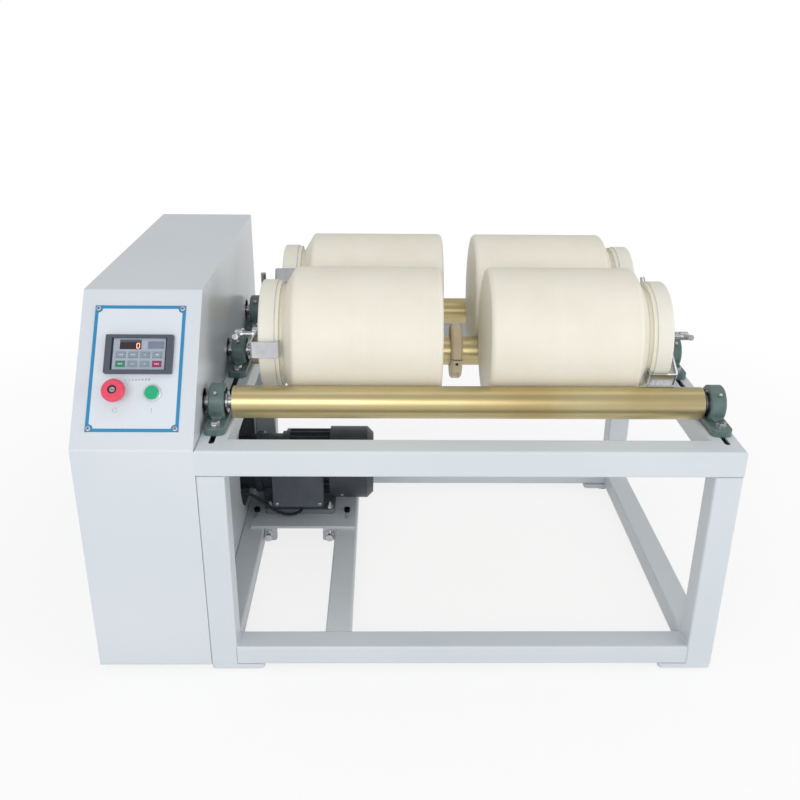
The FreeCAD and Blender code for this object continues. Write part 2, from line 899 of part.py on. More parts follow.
def is_opening_corner(edge):
    """True for the corner edges of the motor opening."""
    if not runs_along(edge, X_AXIS):
        return False
    spot = edge.CenterOfMass
    across = abs(abs(spot.y - s.opening_middle_y.value) - s.opening_width.value / 2)
    up = abs(abs(spot.z - s.opening_middle_z.value) - s.opening_height.value / 2)
    return across < 0.01 and up < 0.01


def cover_screw_spots():
    """Eight screws round the removable side cover."""
    inset = s.cover_screw_inset
    middle_y = s.cabinet_depth / 2
    low = s.cabinet_bottom + inset
    high = s.cabinet_top - inset
    far = s.cabinet_depth - inset
    return [
        (inset, low),
        (middle_y, low),
        (far, low),
        (far, (low + high) / 2),
        (far, high),
        (s.slope_depth + 2 * inset, high),
        (inset, s.kink_height - inset),
        (inset, (low + s.kink_height) / 2),
    ]


def cabinet_screws():
    """Pan-head screws of the side cover and of the faceplate's corners."""
    side = new_body("side_screws", -s.cabinet_width, 0, 0, many=True)
    heads = new_sketch(side, "YZ_Plane")
    shanks = new_sketch(side, "YZ_Plane")
    for y, z in cover_screw_spots():
        draw_circle(heads, y, z, s.cover_screw_head_radius)
        draw_circle(shanks, y, z, s.cover_screw_radius)
    pad(side, heads, s.cover_screw_head_height, reverse=True)
    pad(side, shanks, s.sheet_thickness)
    round_edges(side, s.cover_screw_head_height / 2, lambda edge: edge.CenterOfMass.x < -1)

    front = slope_body("faceplate_screws", PANEL_X, s.faceplate_from_kink, s.faceplate_thickness, many=True)
    heads = new_sketch(front, "XY_Plane")
    for x in (-1, 1):
        across = x * (s.faceplate_width / 2 - s.faceplate_screw_inset)
        for up in (s.faceplate_screw_inset, s.faceplate_height - s.faceplate_screw_inset):
            draw_circle(heads, across, up, s.cover_screw_head_radius)
    pad(front, heads, s.cover_screw_head_height)
    round_edges(front, s.cover_screw_head_height / 2, lambda edge: edge.CenterOfMass.z > 1)
    keep("cabinet_screws", side, front)


# Control panel

def faceplate():
    """A thin rounded plate on the slope with openings for the keypad and the buttons."""
    plate = slope_body("faceplate_sheet", PANEL_X, s.faceplate_from_kink)
    outline = new_sketch(plate, "XY_Plane")
    draw_box(outline, -s.faceplate_width / 2, 0, s.faceplate_width, s.faceplate_height)
    pad(plate, outline, s.faceplate_thickness)
    round_edges(plate, s.faceplate_corner, lambda edge: runs_along(edge, Z_AXIS))
    keep("faceplate", cut("faceplate", plate, panel_holes("faceplate_openings", s.seat_gap)))


def key_spots():
    """The middles of the eight keys, row by row, measured from the keypad's middle."""
    spots = []
    for row_number in range(2):
        up = (0.5 - row_number) * s.key_row_pitch - s.key_middle_drop
        for column in range(4):
            spots.append((s.key_middle_shift + (column - 1.5) * s.key_pitch, up))
    return spots


def keypad_bezel():
    """The drive unit: a rimmed front with a sunk field, key holes and a window, and its box behind."""
    out = s.faceplate_thickness
    bezel = slope_body("keypad_bezel", KEYPAD_X, KEYPAD_UP, out)
    outline = new_sketch(bezel, "XY_Plane")
    draw_box(outline, -s.keypad_width / 2, -s.keypad_height / 2, s.keypad_width, s.keypad_height)
    pad(bezel, outline, s.keypad_proud)
    round_edges(bezel, s.keypad_corner, lambda edge: runs_along(edge, Z_AXIS))
    unit = new_sketch(bezel, "XY_Plane")
    width = s.keypad_width - 2 * s.drive_unit_gap
    height = s.keypad_height - 2 * s.drive_unit_gap
    draw_box(unit, -width / 2, -height / 2, width, height)
    pad(bezel, unit, s.drive_unit_depth, reverse=True)
    field = new_sketch(bezel, "XY_Plane", s.keypad_proud)
    field_width = s.keypad_width - 2 * s.keypad_rim_side
    field_height = s.keypad_height - 2 * s.keypad_rim_end
    draw_box(field, -field_width / 2, -field_height / 2, field_width, field_height)
    pocket(bezel, field, s.keypad_recess)
    floor = s.keypad_proud - s.keypad_recess
    holes = new_sketch(bezel, "XY_Plane", floor)
    for x, up in key_spots():
        draw_box(
            holes,
            x - s.key_width / 2 - s.key_gap,
            up - s.key_height / 2 - s.key_gap,
            s.key_width + 2 * s.key_gap,
            s.key_height + 2 * s.key_gap,
        )
    pocket(bezel, holes, s.key_thickness + s.key_travel - s.key_proud + s.key_gap)
    window = new_sketch(bezel, "XY_Plane", floor)
    draw_box(
        window,
        s.display_shift - s.display_width / 2,
        s.display_rise - s.display_height / 2,
        s.display_width,
        s.display_height,
    )
    pocket(bezel, window, s.display_thickness)
    keep("keypad_bezel", bezel)


def display_window():
    """The smoked window of the speed display, flush with the keypad's sunk field."""
    out = s.faceplate_thickness + s.keypad_proud - s.keypad_recess - s.display_thickness
    window = slope_body("display_window", KEYPAD_X + s.display_shift, KEYPAD_UP + s.display_rise, out)
    outline = new_sketch(window, "XY_Plane")
    draw_box(outline, -s.display_width / 2, -s.display_height / 2, s.display_width, s.display_height)
    pad(window, outline, s.display_thickness)
    keep("display_window", window)


def keys():
    """Eight separate keys that stand proud of the sunk field and press down to it."""
    names = [
        "key_program", "key_function", "key_up", "key_enter",
        "key_run", "key_jog", "key_down", "key_stop",
    ]
    out = s.faceplate_thickness + s.keypad_proud - s.keypad_recess + s.key_proud - s.key_thickness
    for name, (x, up) in zip(names, key_spots()):
        key = slope_body(name, KEYPAD_X + x, KEYPAD_UP + up, out)
        outline = new_sketch(key, "XY_Plane")
        draw_box(outline, -s.key_width / 2, -s.key_height / 2, s.key_width, s.key_height)
        pad(key, outline, s.key_thickness)
        round_edges(key, s.key_corner, lambda edge: runs_along(edge, Z_AXIS))
        keep(name, key)


def turned_on_slope(name, along, up, points):
    """A round piece that stands on the slope, turned from (out, radius) points."""
    body = slope_body(name, along, up)
    sketch = new_sketch(body, "XZ_Plane")
    draw_loop(sketch, [(radius, out) for out, radius in points])
    feature = body.newObject("PartDesign::Revolution", name + "_turned")
    feature.Profile = sketch
    feature.ReferenceAxis = (sketch, ["V_Axis"])
    feature.Angle = 360
    return body


def buttons():
    """The stop button's collar, plunger and turning head, and the start button in its ring."""
    face = s.faceplate_thickness
    barrel = s.button_hole_radius
    deep = face - s.button_barrel_length
    stem_hole = s.stop_stem_radius + s.running_gap
    collar_top = face + s.stop_collar_height
    collar = turned_on_slope("stop_collar_ring", STOP_X, BUTTON_UP, [
        (deep, stem_hole),
        (collar_top, stem_hole),
        (collar_top, s.stop_collar_radius - s.collar_bevel),
        (collar_top - s.collar_bevel, s.stop_collar_radius),
        (face, s.stop_collar_radius),
        (face, barrel),
        (deep, barrel),
    ])
    cap_hole = s.start_cap_radius + s.running_gap
    ring_floor = face + s.start_floor
    ring_top = face + s.start_bezel_height
    ring = turned_on_slope("start_ring", START_X, BUTTON_UP, [
        (deep, stem_hole),
        (ring_floor, stem_hole),
        (ring_floor, cap_hole),
        (ring_top, cap_hole),
        (ring_top, s.start_bezel_radius - s.cap_bevel),
        (ring_top - s.cap_bevel, s.start_bezel_radius),
        (face, s.start_bezel_radius),
        (face, barrel),
        (deep, barrel),
    ])
    keep("button_bezels", collar, ring)

    low = face + s.stop_collar_height + s.stop_travel + s.key_gap
    top = low + s.stop_head_height
    recess_floor = top - s.stop_recess_depth
    stem = turned_on_slope("estop_stem", STOP_X, BUTTON_UP, [
        (deep, 0),
        (recess_floor, 0),
        (recess_floor, s.stop_lock_radius),
        (low, s.stop_lock_radius),
        (low, s.stop_stem_radius),
        (deep, s.stop_stem_radius),
    ])
    keep("estop_stem", stem)
    bore = s.stop_lock_radius + s.running_gap
    head = turned_on_slope("estop_button", STOP_X, BUTTON_UP, [
        (low, bore),
        (recess_floor, bore),
        (recess_floor, s.stop_recess_radius),
        (top, s.stop_recess_radius),
        (top, s.stop_face_radius),
        (top - s.stop_crown_height, s.stop_crown_radius),
        (top - 2 * s.stop_crown_height, s.stop_head_radius),
        (low + s.collar_bevel, s.stop_head_radius),
        (low, s.stop_head_radius - s.collar_bevel),
    ])
    keep("estop_button", head)
    cap_top = ring_top + s.start_cap_proud
    cap_low = ring_floor + s.start_travel + s.key_gap
    cap = turned_on_slope("start_button", START_X, BUTTON_UP, [
        (deep, 0),
        (cap_top, 0),
        (cap_top, s.start_cap_radius - s.cap_bevel),
        (cap_top - s.cap_bevel, s.start_cap_radius),
        (cap_low, s.start_cap_radius),
        (cap_low, s.stop_stem_radius),
        (deep, s.stop_stem_radius),
    ])
    keep("start_button", cap)


# Pillow blocks, rollers and shafts

def roller_y(step):
    return s.roller_front_y + step * s.roller_spacing


def axle_z():
    return s.deck_height + s.axle_height


def pillow_blocks():
    """Cast bearing housings: a flat slotted foot and a round, filleted eye that holds the insert."""
    half = s.block_ring_width / 2
    rim = s.block_ring_radius - s.block_edge_bevel
    insert_half = half - s.insert_inset
    pieces = []
    for side, middle in (("left", s.block_inset), ("right", s.frame_length - s.block_inset)):
        for step in range(3):
            name = f"block_{side}_{step + 1}"
            body = new_body(name, middle, roller_y(step), s.deck_height)
            foot = new_sketch(body, "XY_Plane")
            draw_box(foot, -s.block_width / 2, -s.block_length / 2, s.block_width, s.block_length)
            pad(body, foot, s.block_foot_thickness)
            round_edges(body, s.block_foot_corner, lambda edge: runs_along(edge, Z_AXIS))
            round_edges(body, s.block_edge_bevel, is_foot_rim)
            turn(body, [
                (-half, 0),
                (-half, rim),
                (s.block_edge_bevel - half, s.block_ring_radius),
                (half - s.block_edge_bevel, s.block_ring_radius),
                (half, rim),
                (half, 0),
            ], s.axle_height)
            round_edges(body, s.block_fillet, is_eye_flank)
            bore = new_sketch(body, "YZ_Plane", -half)
            draw_circle(bore, 0, s.axle_height, s.insert_radius + s.seat_gap)
            pocket(body, bore, s.block_ring_width, reverse=True)
            slots = []
            for way in (-1, 1):
                slot_y = way * s.block_bolt_spacing / 2
                slots.append((as_size(0), slot_y - s.block_slot_length / 2, slot_y + s.block_slot_length / 2))
            round_slots(body, None, slots, s.block_slot_width, s.block_foot_thickness, reverse=True)
            insert = new_body(name + "_insert", middle, roller_y(step), axle_z())
            turn(insert, [
                (-insert_half, s.inner_ring_radius + s.running_gap),
                (insert_half, s.inner_ring_radius + s.running_gap),
                (insert_half, s.insert_radius),
                (-insert_half, s.insert_radius),
            ])
            pieces += [body, insert]
    keep("pillow_blocks", *pieces)


def is_foot_rim(edge):
    """True for the edges round the top of a block's foot."""
    return abs(edge.BoundBox.ZMin - s.block_foot_thickness.value) < 0.01 and edge.BoundBox.ZLength < 0.01


def is_eye_flank(edge):
    """True where the round eye meets the foot's flat top along X."""
    on_top = abs(edge.CenterOfMass.z - s.block_foot_thickness.value) < 0.01
    return on_top and runs_along(edge, X_AXIS) and abs(edge.CenterOfMass.y) < s.block_ring_radius.value


def block_bolts():
    """Twelve hex bolts with washers that hold the pillow blocks in the deck's slots."""
    bolts = new_body("block_bolts", 0, 0, s.deck_height, many=True)
    spots = []
    for x in (s.block_inset, s.frame_length - s.block_inset):
        for step in range(3):
            for way in (-1, 1):
                spots.append((x, roller_y(step) + way * s.block_bolt_spacing / 2))
    levels = (
        ("washer", s.block_foot_thickness, s.washer_thickness),
        ("head", s.block_foot_thickness + s.washer_thickness, s.bolt_head_height),
        ("shank", s.block_foot_thickness + s.washer_thickness - s.block_bolt_length, s.block_bolt_length),
    )
    for kind, low, height in levels:
        sketch = new_sketch(bolts, "XY_Plane", low)
        for x, y in spots:
            if kind == "head":
                draw_hexagon(sketch, x, y, s.bolt_head_radius)
            else:
                draw_circle(sketch, x, y, s.washer_radius if kind == "washer" else s.block_bolt_radius)
        pad(bolts, sketch, height)
    keep("block_bolts", bolts)


def draw_hexagon(sketch, x, y, radius):
    """A regular hexagon with two corners across the sketch's x."""
    points = []
    for step in range(6):
        across = math.cos(math.radians(60 * step))
        up = math.sin(math.radians(60 * step))
        points.append((x + across * radius, y + up * radius))
    draw_loop(sketch, points)


def grease_nipples():
    """A short nipple that leans forward on the shoulder of each housing."""
    pieces = []
    for side, middle in (("left", s.block_inset), ("right", s.frame_length - s.block_inset)):
        for step in range(3):
            back = sine(s.nipple_lean)
            rise = cosine(s.nipple_lean)
            y = roller_y(step) - s.block_ring_radius * back
            z = axle_z() + s.block_ring_radius * rise
            name = f"nipple_{side}_{step + 1}"
            neck = cylinder(name + "_neck", middle, y, z, s.nipple_radius, s.nipple_length,
                            X_AXIS, s.nipple_lean)
            tip = doc.addObject("Part::Sphere", name + "_tip")
            bind(tip, "Radius", s.nipple_tip_radius)
            place(tip, middle, y - s.nipple_length * back, z + s.nipple_length * rise)
            pieces.append(cut(name, fuse(name + "_whole", neck, tip), nipple_seat(name, middle, step)))
    keep("grease_nipples", *pieces)


def nipple_seat(name, middle, step):
    """The round eye's own surface, which the nipple's foot follows."""
    start = middle - s.block_ring_width / 2
    return cylinder(
        name + "_seat", start, roller_y(step), axle_z(), s.block_ring_radius, s.block_ring_width, Y_AXIS, 90
    )


def rollers():
    """Brass sleeves on steel shafts that run through the wall to their sprockets."""
    bore = s.roller_radius - s.roller_wall
    names = ("front", "middle", "rear")
    right_end = s.frame_length - s.block_inset + s.block_ring_width / 2 + s.shaft_end_proud
    plane_counts = (1, 3, 3)
    length = s.frame_length - s.roller_start - s.roller_end_gap
    for step, name in enumerate(names):
        sleeve = new_body(f"roller_{name}", s.roller_start, roller_y(step), axle_z())
        turn(sleeve, [(0, bore), (length, bore), (length, s.roller_radius), (0, s.roller_radius)])
        round_edges(sleeve, s.roller_edge_round, lambda edge: any(
            is_ring(edge, along, s.roller_radius) for along in (as_size(0), length)))
        keep(f"roller_{name}", sleeve)

        left_end = -(s.first_chain_plane + (plane_counts[step] - 1) * s.chain_plane_step + s.hub_length)
        start = s.roller_start
        stop = s.roller_start + length
        plug = s.roller_plug_length
        thick = bore - s.seat_gap
        shaft = new_body(f"shaft_{name}", 0, roller_y(step), axle_z())
        turn(shaft, [
            (left_end, 0),
            (right_end, 0),
            (right_end, s.shaft_radius - s.shaft_bevel),
            (right_end - s.shaft_bevel, s.shaft_radius),
            (stop, s.shaft_radius),
            (stop, thick),
            (stop - plug, thick),
            (stop - plug, s.shaft_radius),
            (start + plug, s.shaft_radius),
            (start + plug, thick),
            (start, thick),
            (start, s.shaft_radius),
            (left_end + s.shaft_bevel, s.shaft_radius),
            (left_end, s.shaft_radius - s.shaft_bevel),
        ])
        rings = [inner_ring(name, "left", s.block_inset, 1, step)]
        rings.append(inner_ring(name, "right", s.frame_length - s.block_inset, -1, step))
        keep(f"shaft_{name}", shaft, *rings)


def inner_ring(name, side, middle, way, step):
    """The bearing's inner ring, with its lock collar on the roller's side."""
    half = s.block_ring_width / 2 - s.insert_inset
    collar_start = half + s.collar_gap
    collar_end = collar_start + s.lock_collar_length
    bore = s.shaft_radius + s.seat_gap
    ring = new_body(f"inner_ring_{name}_{side}", middle, roller_y(step), axle_z())
    turn(ring, [
        (-way * half, bore),
        (way * collar_end, bore),
        (way * collar_end, s.lock_collar_radius),
        (way * collar_start, s.lock_collar_radius),
        (way * collar_start, s.inner_ring_radius),
        (-way * half, s.inner_ring_radius),
    ])
    return ring


def stop_ring():
    """A split collar on the middle roller that keeps the jars of one row apart, with its clamp screw."""
    ring = new_body("stop_ring_body", s.stop_ring_from_wall, roller_y(1), axle_z())
    bore = s.roller_radius + s.running_gap
    width = s.stop_ring_width
    bevel = s.stop_ring_chamfer
    turn(ring, [
        (0, bore),
        (width, bore),
        (width, s.stop_ring_radius - bevel),
        (width - bevel, s.stop_ring_radius),
        (bevel, s.stop_ring_radius),
        (0, s.stop_ring_radius - bevel),
    ])
    slit = new_sketch(ring, "YZ_Plane")
    draw_box(slit, -s.stop_ring_radius, -s.stop_ring_split / 2, s.stop_ring_radius, s.stop_ring_split)
    pocket(ring, slit, width, reverse=True)
    screw_y = roller_y(1) - (s.stop_ring_radius + s.roller_radius) / 2
    screw_x = s.stop_ring_from_wall + width / 2
    half = s.stop_ring_screw_length / 2
    low = axle_z() - half
    screw_hole = s.stop_ring_screw_radius + s.running_gap
    hole = cylinder("stop_ring_hole", screw_x, screw_y, low, screw_hole, 2 * half)
    sunk = cylinder("stop_ring_sink", screw_x, screw_y, axle_z() - s.stop_ring_radius,
                    s.stop_ring_sink_radius, s.stop_ring_radius - half)
    shank = cylinder("stop_ring_shank", screw_x, screw_y, low, s.stop_ring_screw_radius, 2 * half)
    head = cylinder("stop_ring_head", screw_x, screw_y, low - s.stop_ring_head_height,
                    s.stop_ring_head_radius, s.stop_ring_head_height)
    holed = cut("stop_ring_holed", ring, fuse("stop_ring_drilling", hole, sunk))
    keep("stop_ring", holed, fuse("stop_ring_screw", shank, head))


# Chain drive

PITCH_RADIUS = s.chain_pitch / (2 * sine(180 / s.sprocket_teeth))


def sprocket(name, plane, y, z, bore):
    """A toothed disc with a hub on the wall's far side, bored for its shaft."""
    tip = PITCH_RADIUS + s.tooth_height
    body = new_body(name, -plane, y, z)
    disc = new_sketch(body, "YZ_Plane", -s.tooth_width / 2)
    draw_circle(disc, 0, 0, tip)
    draw_circle(disc, 0, 0, bore)
    pad(body, disc, s.tooth_width)
    gap = new_sketch(body, "YZ_Plane", -s.tooth_width / 2)
    draw_circle(gap, 0, PITCH_RADIUS, s.tooth_gap_radius)
    tooth_gap = pocket(body, gap, s.tooth_width, reverse=True)
    repeat_round(body, tooth_gap, s.sprocket_teeth)
    hub = new_sketch(body, "YZ_Plane", -s.tooth_width / 2)
    draw_circle(hub, 0, 0, s.hub_radius)
    draw_circle(hub, 0, 0, bore)
    pad(body, hub, s.hub_length, reverse=True)
    return body


def chain_plane(step):
    return s.first_chain_plane + step * s.chain_plane_step


def sprockets():
    """One sprocket on the outer rollers and the motor, three on the middle roller."""
    bore = s.shaft_radius + s.seat_gap
    keep("sprocket_front", sprocket("sprocket_front", chain_plane(0), roller_y(0), axle_z(), bore))
    middle = [sprocket(f"sprocket_middle_{step + 1}", chain_plane(step), roller_y(1), axle_z(), bore)
              for step in range(3)]
    keep("sprockets_middle", *middle)
    keep("sprocket_rear", sprocket("sprocket_rear", chain_plane(2), roller_y(2), axle_z(), bore))
    wheel = sprocket("motor_wheel", chain_plane(1), s.motor_y, s.motor_z, s.output_radius + s.seat_gap)
    shaft_start = s.gearbox_left - s.gearbox_boss_length - s.output_length
    output = cylinder("motor_output", shaft_start, s.motor_y, s.motor_z, s.output_radius, s.output_length,
                      Y_AXIS, 90)
    keep("motor_sprocket", wheel, output)


def chain(name, step, y_from, z_from, y_to, z_to):
    """A closed chain round two equal sprockets, grooved inside for their teeth."""
    across = as_size(y_to) - y_from
    up = as_size(z_to) - z_from
    length = root(across * across + up * up)
    body = new_body(name, -chain_plane(step), y_from, z_from, X_AXIS, slope_angle(up, across))
    outer = PITCH_RADIUS + s.chain_height / 2
    inner = PITCH_RADIUS - s.chain_height / 2
    loop = new_sketch(body, "YZ_Plane", -s.chain_width / 2)
    draw_stadium(loop, length, outer)
    draw_stadium(loop, length, inner)
    pad(body, loop, s.chain_width)
    groove = new_sketch(body, "YZ_Plane", -s.chain_slot_width / 2)
    draw_stadium(groove, length, PITCH_RADIUS + s.tooth_height + s.chain_tip_gap)
    pocket(body, groove, s.chain_slot_width, reverse=True)
    return body


def chains():
    """Motor to middle roller, and middle roller to each outer roller."""
    level = axle_z()
    keep(
        "chains",
        chain("chain_front", 0, roller_y(0), level, roller_y(1), level),
        chain("chain_motor", 1, s.motor_y, s.motor_z, roller_y(1), level),
        chain("chain_rear", 2, roller_y(1), level, roller_y(2), level),
    )


# Geared motor

def plate_top():
    return s.foot_pad_height + s.foot_plate_thickness + s.low_rail_height + s.plate_thickness


def gearbox():
    """The gear case on its foot, with the boss that its output shaft leaves by."""
    case = new_body("gear_case", 0, s.motor_y, s.motor_z)
    left = s.gearbox_left
    radius = s.gearbox_radius
    bore = s.output_radius + s.running_gap
    joint_start = left + s.gear_body_length
    joint_end = joint_start + s.gear_joint_width
    flange_start = s.gearbox_right - s.motor_flange_width
    turn(case, [
        (left - s.gearbox_boss_length, bore),
        (left - s.gearbox_boss_length, s.gearbox_boss_radius),
        (left, s.gearbox_boss_radius),
        (left + s.gear_nose_length, s.gear_nose_radius),
        (joint_start, s.gear_body_radius),
        (joint_start, radius),
        (joint_end, radius),
        (joint_end, s.gear_waist_radius),
        (flange_start, s.gear_waist_radius),
        (flange_start, radius),
        (s.gearbox_right, radius),
        (s.gearbox_right, 0),
        (left, 0),
        (left, bore),
    ])
    foot = new_body("gear_foot", s.motor_foot_left, s.motor_foot_front, plate_top())
    outline = new_sketch(foot, "XY_Plane")
    draw_box(outline, 0, 0, s.motor_foot_length, s.motor_foot_depth)
    pad(foot, outline, s.motor_foot_thickness)
    round_edges(foot, s.foot_plate_corner, lambda edge: runs_along(edge, Z_AXIS))
    holes = new_sketch(foot, "XY_Plane")
    for x, y in foot_bolt_spots():
        draw_circle(holes, x - s.motor_foot_left, y - s.motor_foot_front, s.foot_bolt_radius + s.running_gap)
    pocket(foot, holes, s.motor_foot_thickness, reverse=True)
    pedestal = box(
        "pedestal",
        s.gearbox_right - s.pedestal_length,
        s.motor_y - s.pedestal_depth / 2,
        plate_top(),
        s.pedestal_length,
        s.pedestal_depth,
        s.motor_z - plate_top(),
    )
    keep("gearbox", fuse("gearbox", case, foot, pedestal))


def foot_bolt_spots():
    """Four bolts near the corners of the motor's foot."""
    inset = s.foot_bolt_inset
    far_x = s.motor_foot_left + s.motor_foot_length - inset
    far_y = s.motor_foot_front + s.motor_foot_depth - inset
    return [(x, y) for x in (s.motor_foot_left + inset, far_x) for y in (s.motor_foot_front + inset, far_y)]


def motor_body():
    """The finned stator with its flat for the terminal box, and the fan cover behind it."""
    stator = new_body("stator", 0, s.motor_y, s.motor_z)
    left = s.gearbox_right
    rim_left = left + s.stator_rim_width
    rim_right = s.stator_right - s.stator_rim_width
    rim_radius = s.fan_cover_radius - s.fan_cover_wall - s.seat_gap
    turn(stator, [
        (left, 0),
        (s.stator_right, 0),
        (s.stator_right, rim_radius),
        (rim_right, rim_radius),
        (rim_right, s.stator_radius),
        (rim_left, s.stator_radius),
        (rim_left, s.fin_radius),
        (left, s.fin_radius),
    ])
    fin_start = rim_left - s.fin_root
    fin = new_sketch(stator, "YZ_Plane", fin_start)
    root_radius = s.stator_radius - s.fin_root
    draw_box(fin, root_radius, -s.fin_thickness / 2, s.fin_radius - root_radius, s.fin_thickness)
    one_fin = pad(stator, fin, rim_right + s.fin_root - fin_start)
    repeat_round(stator, one_fin, s.fin_count)
    seat = box(
        "terminal_seat",
        rim_left,
        s.terminal_back,
        s.motor_z - s.terminal_seat_height / 2,
        s.terminal_left + s.terminal_width - s.terminal_seat_inset - rim_left,
        s.terminal_seat_depth,
        s.terminal_seat_height,
    )
    bearing = cylinder("fan_bearing", s.stator_right - s.fan_bearing_depth, s.motor_y, s.motor_z,
                       s.fan_shaft_radius + s.running_gap, 2 * s.fan_bearing_depth, Y_AXIS, 90)
    whole = cut("stator_bored", fuse("stator_whole", stator, seat), bearing)

    cover = new_body("fan_cover", 0, s.motor_y, s.motor_z)
    start = rim_right
    stop = s.fan_cover_right
    outer = s.fan_cover_radius
    wall = s.fan_cover_wall
    turn(cover, [
        (start, outer - wall),
        (start, outer),
        (stop - s.fan_cover_round, outer),
        (stop, outer - s.fan_cover_round),
        (stop, 0),
        (stop - wall, 0),
        (stop - wall, outer - s.fan_cover_round - wall / 2),
        (stop - s.fan_cover_round - wall / 2, outer - wall),
    ])
    slot = new_sketch(cover, "YZ_Plane", stop)
    draw_box(slot, s.grille_inner_radius, -s.grille_slot_width / 2,
             s.grille_outer_radius - s.grille_inner_radius, s.grille_slot_width)
    one_slot = pocket(cover, slot, 2 * wall)
    repeat_round(cover, one_slot, s.grille_slot_count)
    keep("motor_body", whole, cover)


def motor_fan():
    """The fan on the end of the rotor shaft, inside its cover."""
    fan = new_body("motor_fan", 0, s.motor_y, s.motor_z)
    start = s.stator_right + s.fan_gap
    disc_end = start + s.fan_disc_thickness
    hub_end = start + s.fan_width
    shaft_start = s.stator_right - s.fan_bearing_depth + s.key_gap
    shaft_end = hub_end + s.fan_shaft_proud
    turn(fan, [
        (shaft_start, 0),
        (shaft_end, 0),
        (shaft_end, s.fan_shaft_radius),
        (hub_end, s.fan_shaft_radius),
        (hub_end, s.fan_hub_radius),
        (disc_end, s.fan_hub_radius),
        (disc_end, s.fan_radius),
        (start, s.fan_radius),
        (start, s.fan_shaft_radius),
        (shaft_start, s.fan_shaft_radius),
    ])
    blade = new_sketch(fan, "YZ_Plane", start + s.fan_disc_thickness / 2)
    blade_root = s.fan_hub_radius - s.fan_blade_thickness
    draw_box(blade, blade_root, -s.fan_blade_thickness / 2, s.fan_radius - blade_root, s.fan_blade_thickness)
    one_blade = pad(fan, blade, s.fan_width - s.fan_disc_thickness / 2)
    repeat_round(fan, one_blade, s.fan_blade_count)
    keep("motor_fan", fan)


def terminal_box():
    """The motor's terminal box with its screwed lid and the gland for the lead."""
    back_depth = s.terminal_back - s.terminal_front - s.terminal_lid
    case = new_body("terminal_case", s.terminal_left, s.terminal_front + s.terminal_lid, s.terminal_bottom)
    outline = new_sketch(case, "XZ_Plane")
    draw_box(outline, 0, 0, s.terminal_width, s.terminal_height)
    pad(case, outline, back_depth, reverse=True)
    round_edges(case, s.terminal_corner, lambda edge: runs_along(edge, Y_AXIS))
    lid = new_body("terminal_lid", s.terminal_left, s.terminal_front, s.terminal_bottom)
    outline = new_sketch(lid, "XZ_Plane")
    draw_box(outline, 0, 0, s.terminal_width, s.terminal_height)
    pad(lid, outline, s.terminal_lid, reverse=True)
    round_edges(lid, s.terminal_corner, lambda edge: runs_along(edge, Y_AXIS))
    gland_x, gland_y, gland_z = gland_end()
    gland = cylinder("lead_gland", gland_x, gland_y, gland_z, s.gland_radius, s.gland_length)
    keep("terminal_box", fuse("terminal_whole", case, gland), lid)


def gland_end():
    """The lead leaves the terminal box here, downwards."""
    y = (s.terminal_front + s.terminal_lid + s.terminal_back) / 2
    return s.terminal_left + s.gland_from_left, y, s.terminal_bottom - s.gland_length


def slide_plate():
    """The motor's plate, slotted for its bolts, with two lugs that take the adjusting bolts."""
    plate = new_body("slide_plate", 0, 0, plate_top() - s.plate_thickness)
    outline = new_sketch(plate, "XY_Plane")
    draw_box(outline, s.plate_left, s.plate_front, s.plate_right - s.plate_left, s.plate_back - s.plate_front)
    pad(plate, outline, s.plate_thickness)
    slots = []
    for side in (0, 1):
        for y in (s.plate_bolt_y, s.plate_bolt_back_y):
            slots.append((plate_bolt_x(side), y - s.plate_slot_length, y + s.plate_slot_width / 2))
    round_slots(plate, None, slots, s.plate_slot_width, s.plate_thickness, reverse=True)
    foot_holes = new_sketch(plate, "XY_Plane")
    for x, y in foot_bolt_spots():
        draw_circle(foot_holes, x, y, s.foot_bolt_radius + s.running_gap)
    pocket(plate, foot_holes, s.plate_thickness, reverse=True)
    lugs = new_sketch(plate, "XZ_Plane", -s.plate_front)
    for x in lug_lefts():
        draw_box(lugs, x, -s.lug_drop, s.lug_width, s.lug_drop)
    pad(plate, lugs, s.lug_thickness, reverse=True)
    round_edges(plate, s.lug_corner, lambda edge: runs_along(edge, Y_AXIS)
                and abs(edge.CenterOfMass.z + s.lug_drop.value) < 0.01)
    holes = new_sketch(plate, "XZ_Plane", -s.plate_front)
    for x in adjuster_middles():
        draw_circle(holes, x, -s.adjuster_drop, s.adjuster_radius + s.seat_gap)
    pocket(plate, holes, s.lug_thickness)
    keep("slide_plate", plate)


def lug_lefts():
    """The lugs hang just inside the two rails."""
    return (s.tube_size + s.lug_gap, s.motor_rail_left - s.lug_width - s.lug_gap)


def adjuster_middles():
    return (s.tube_size + s.adjuster_inset, s.motor_rail_left - s.adjuster_inset)


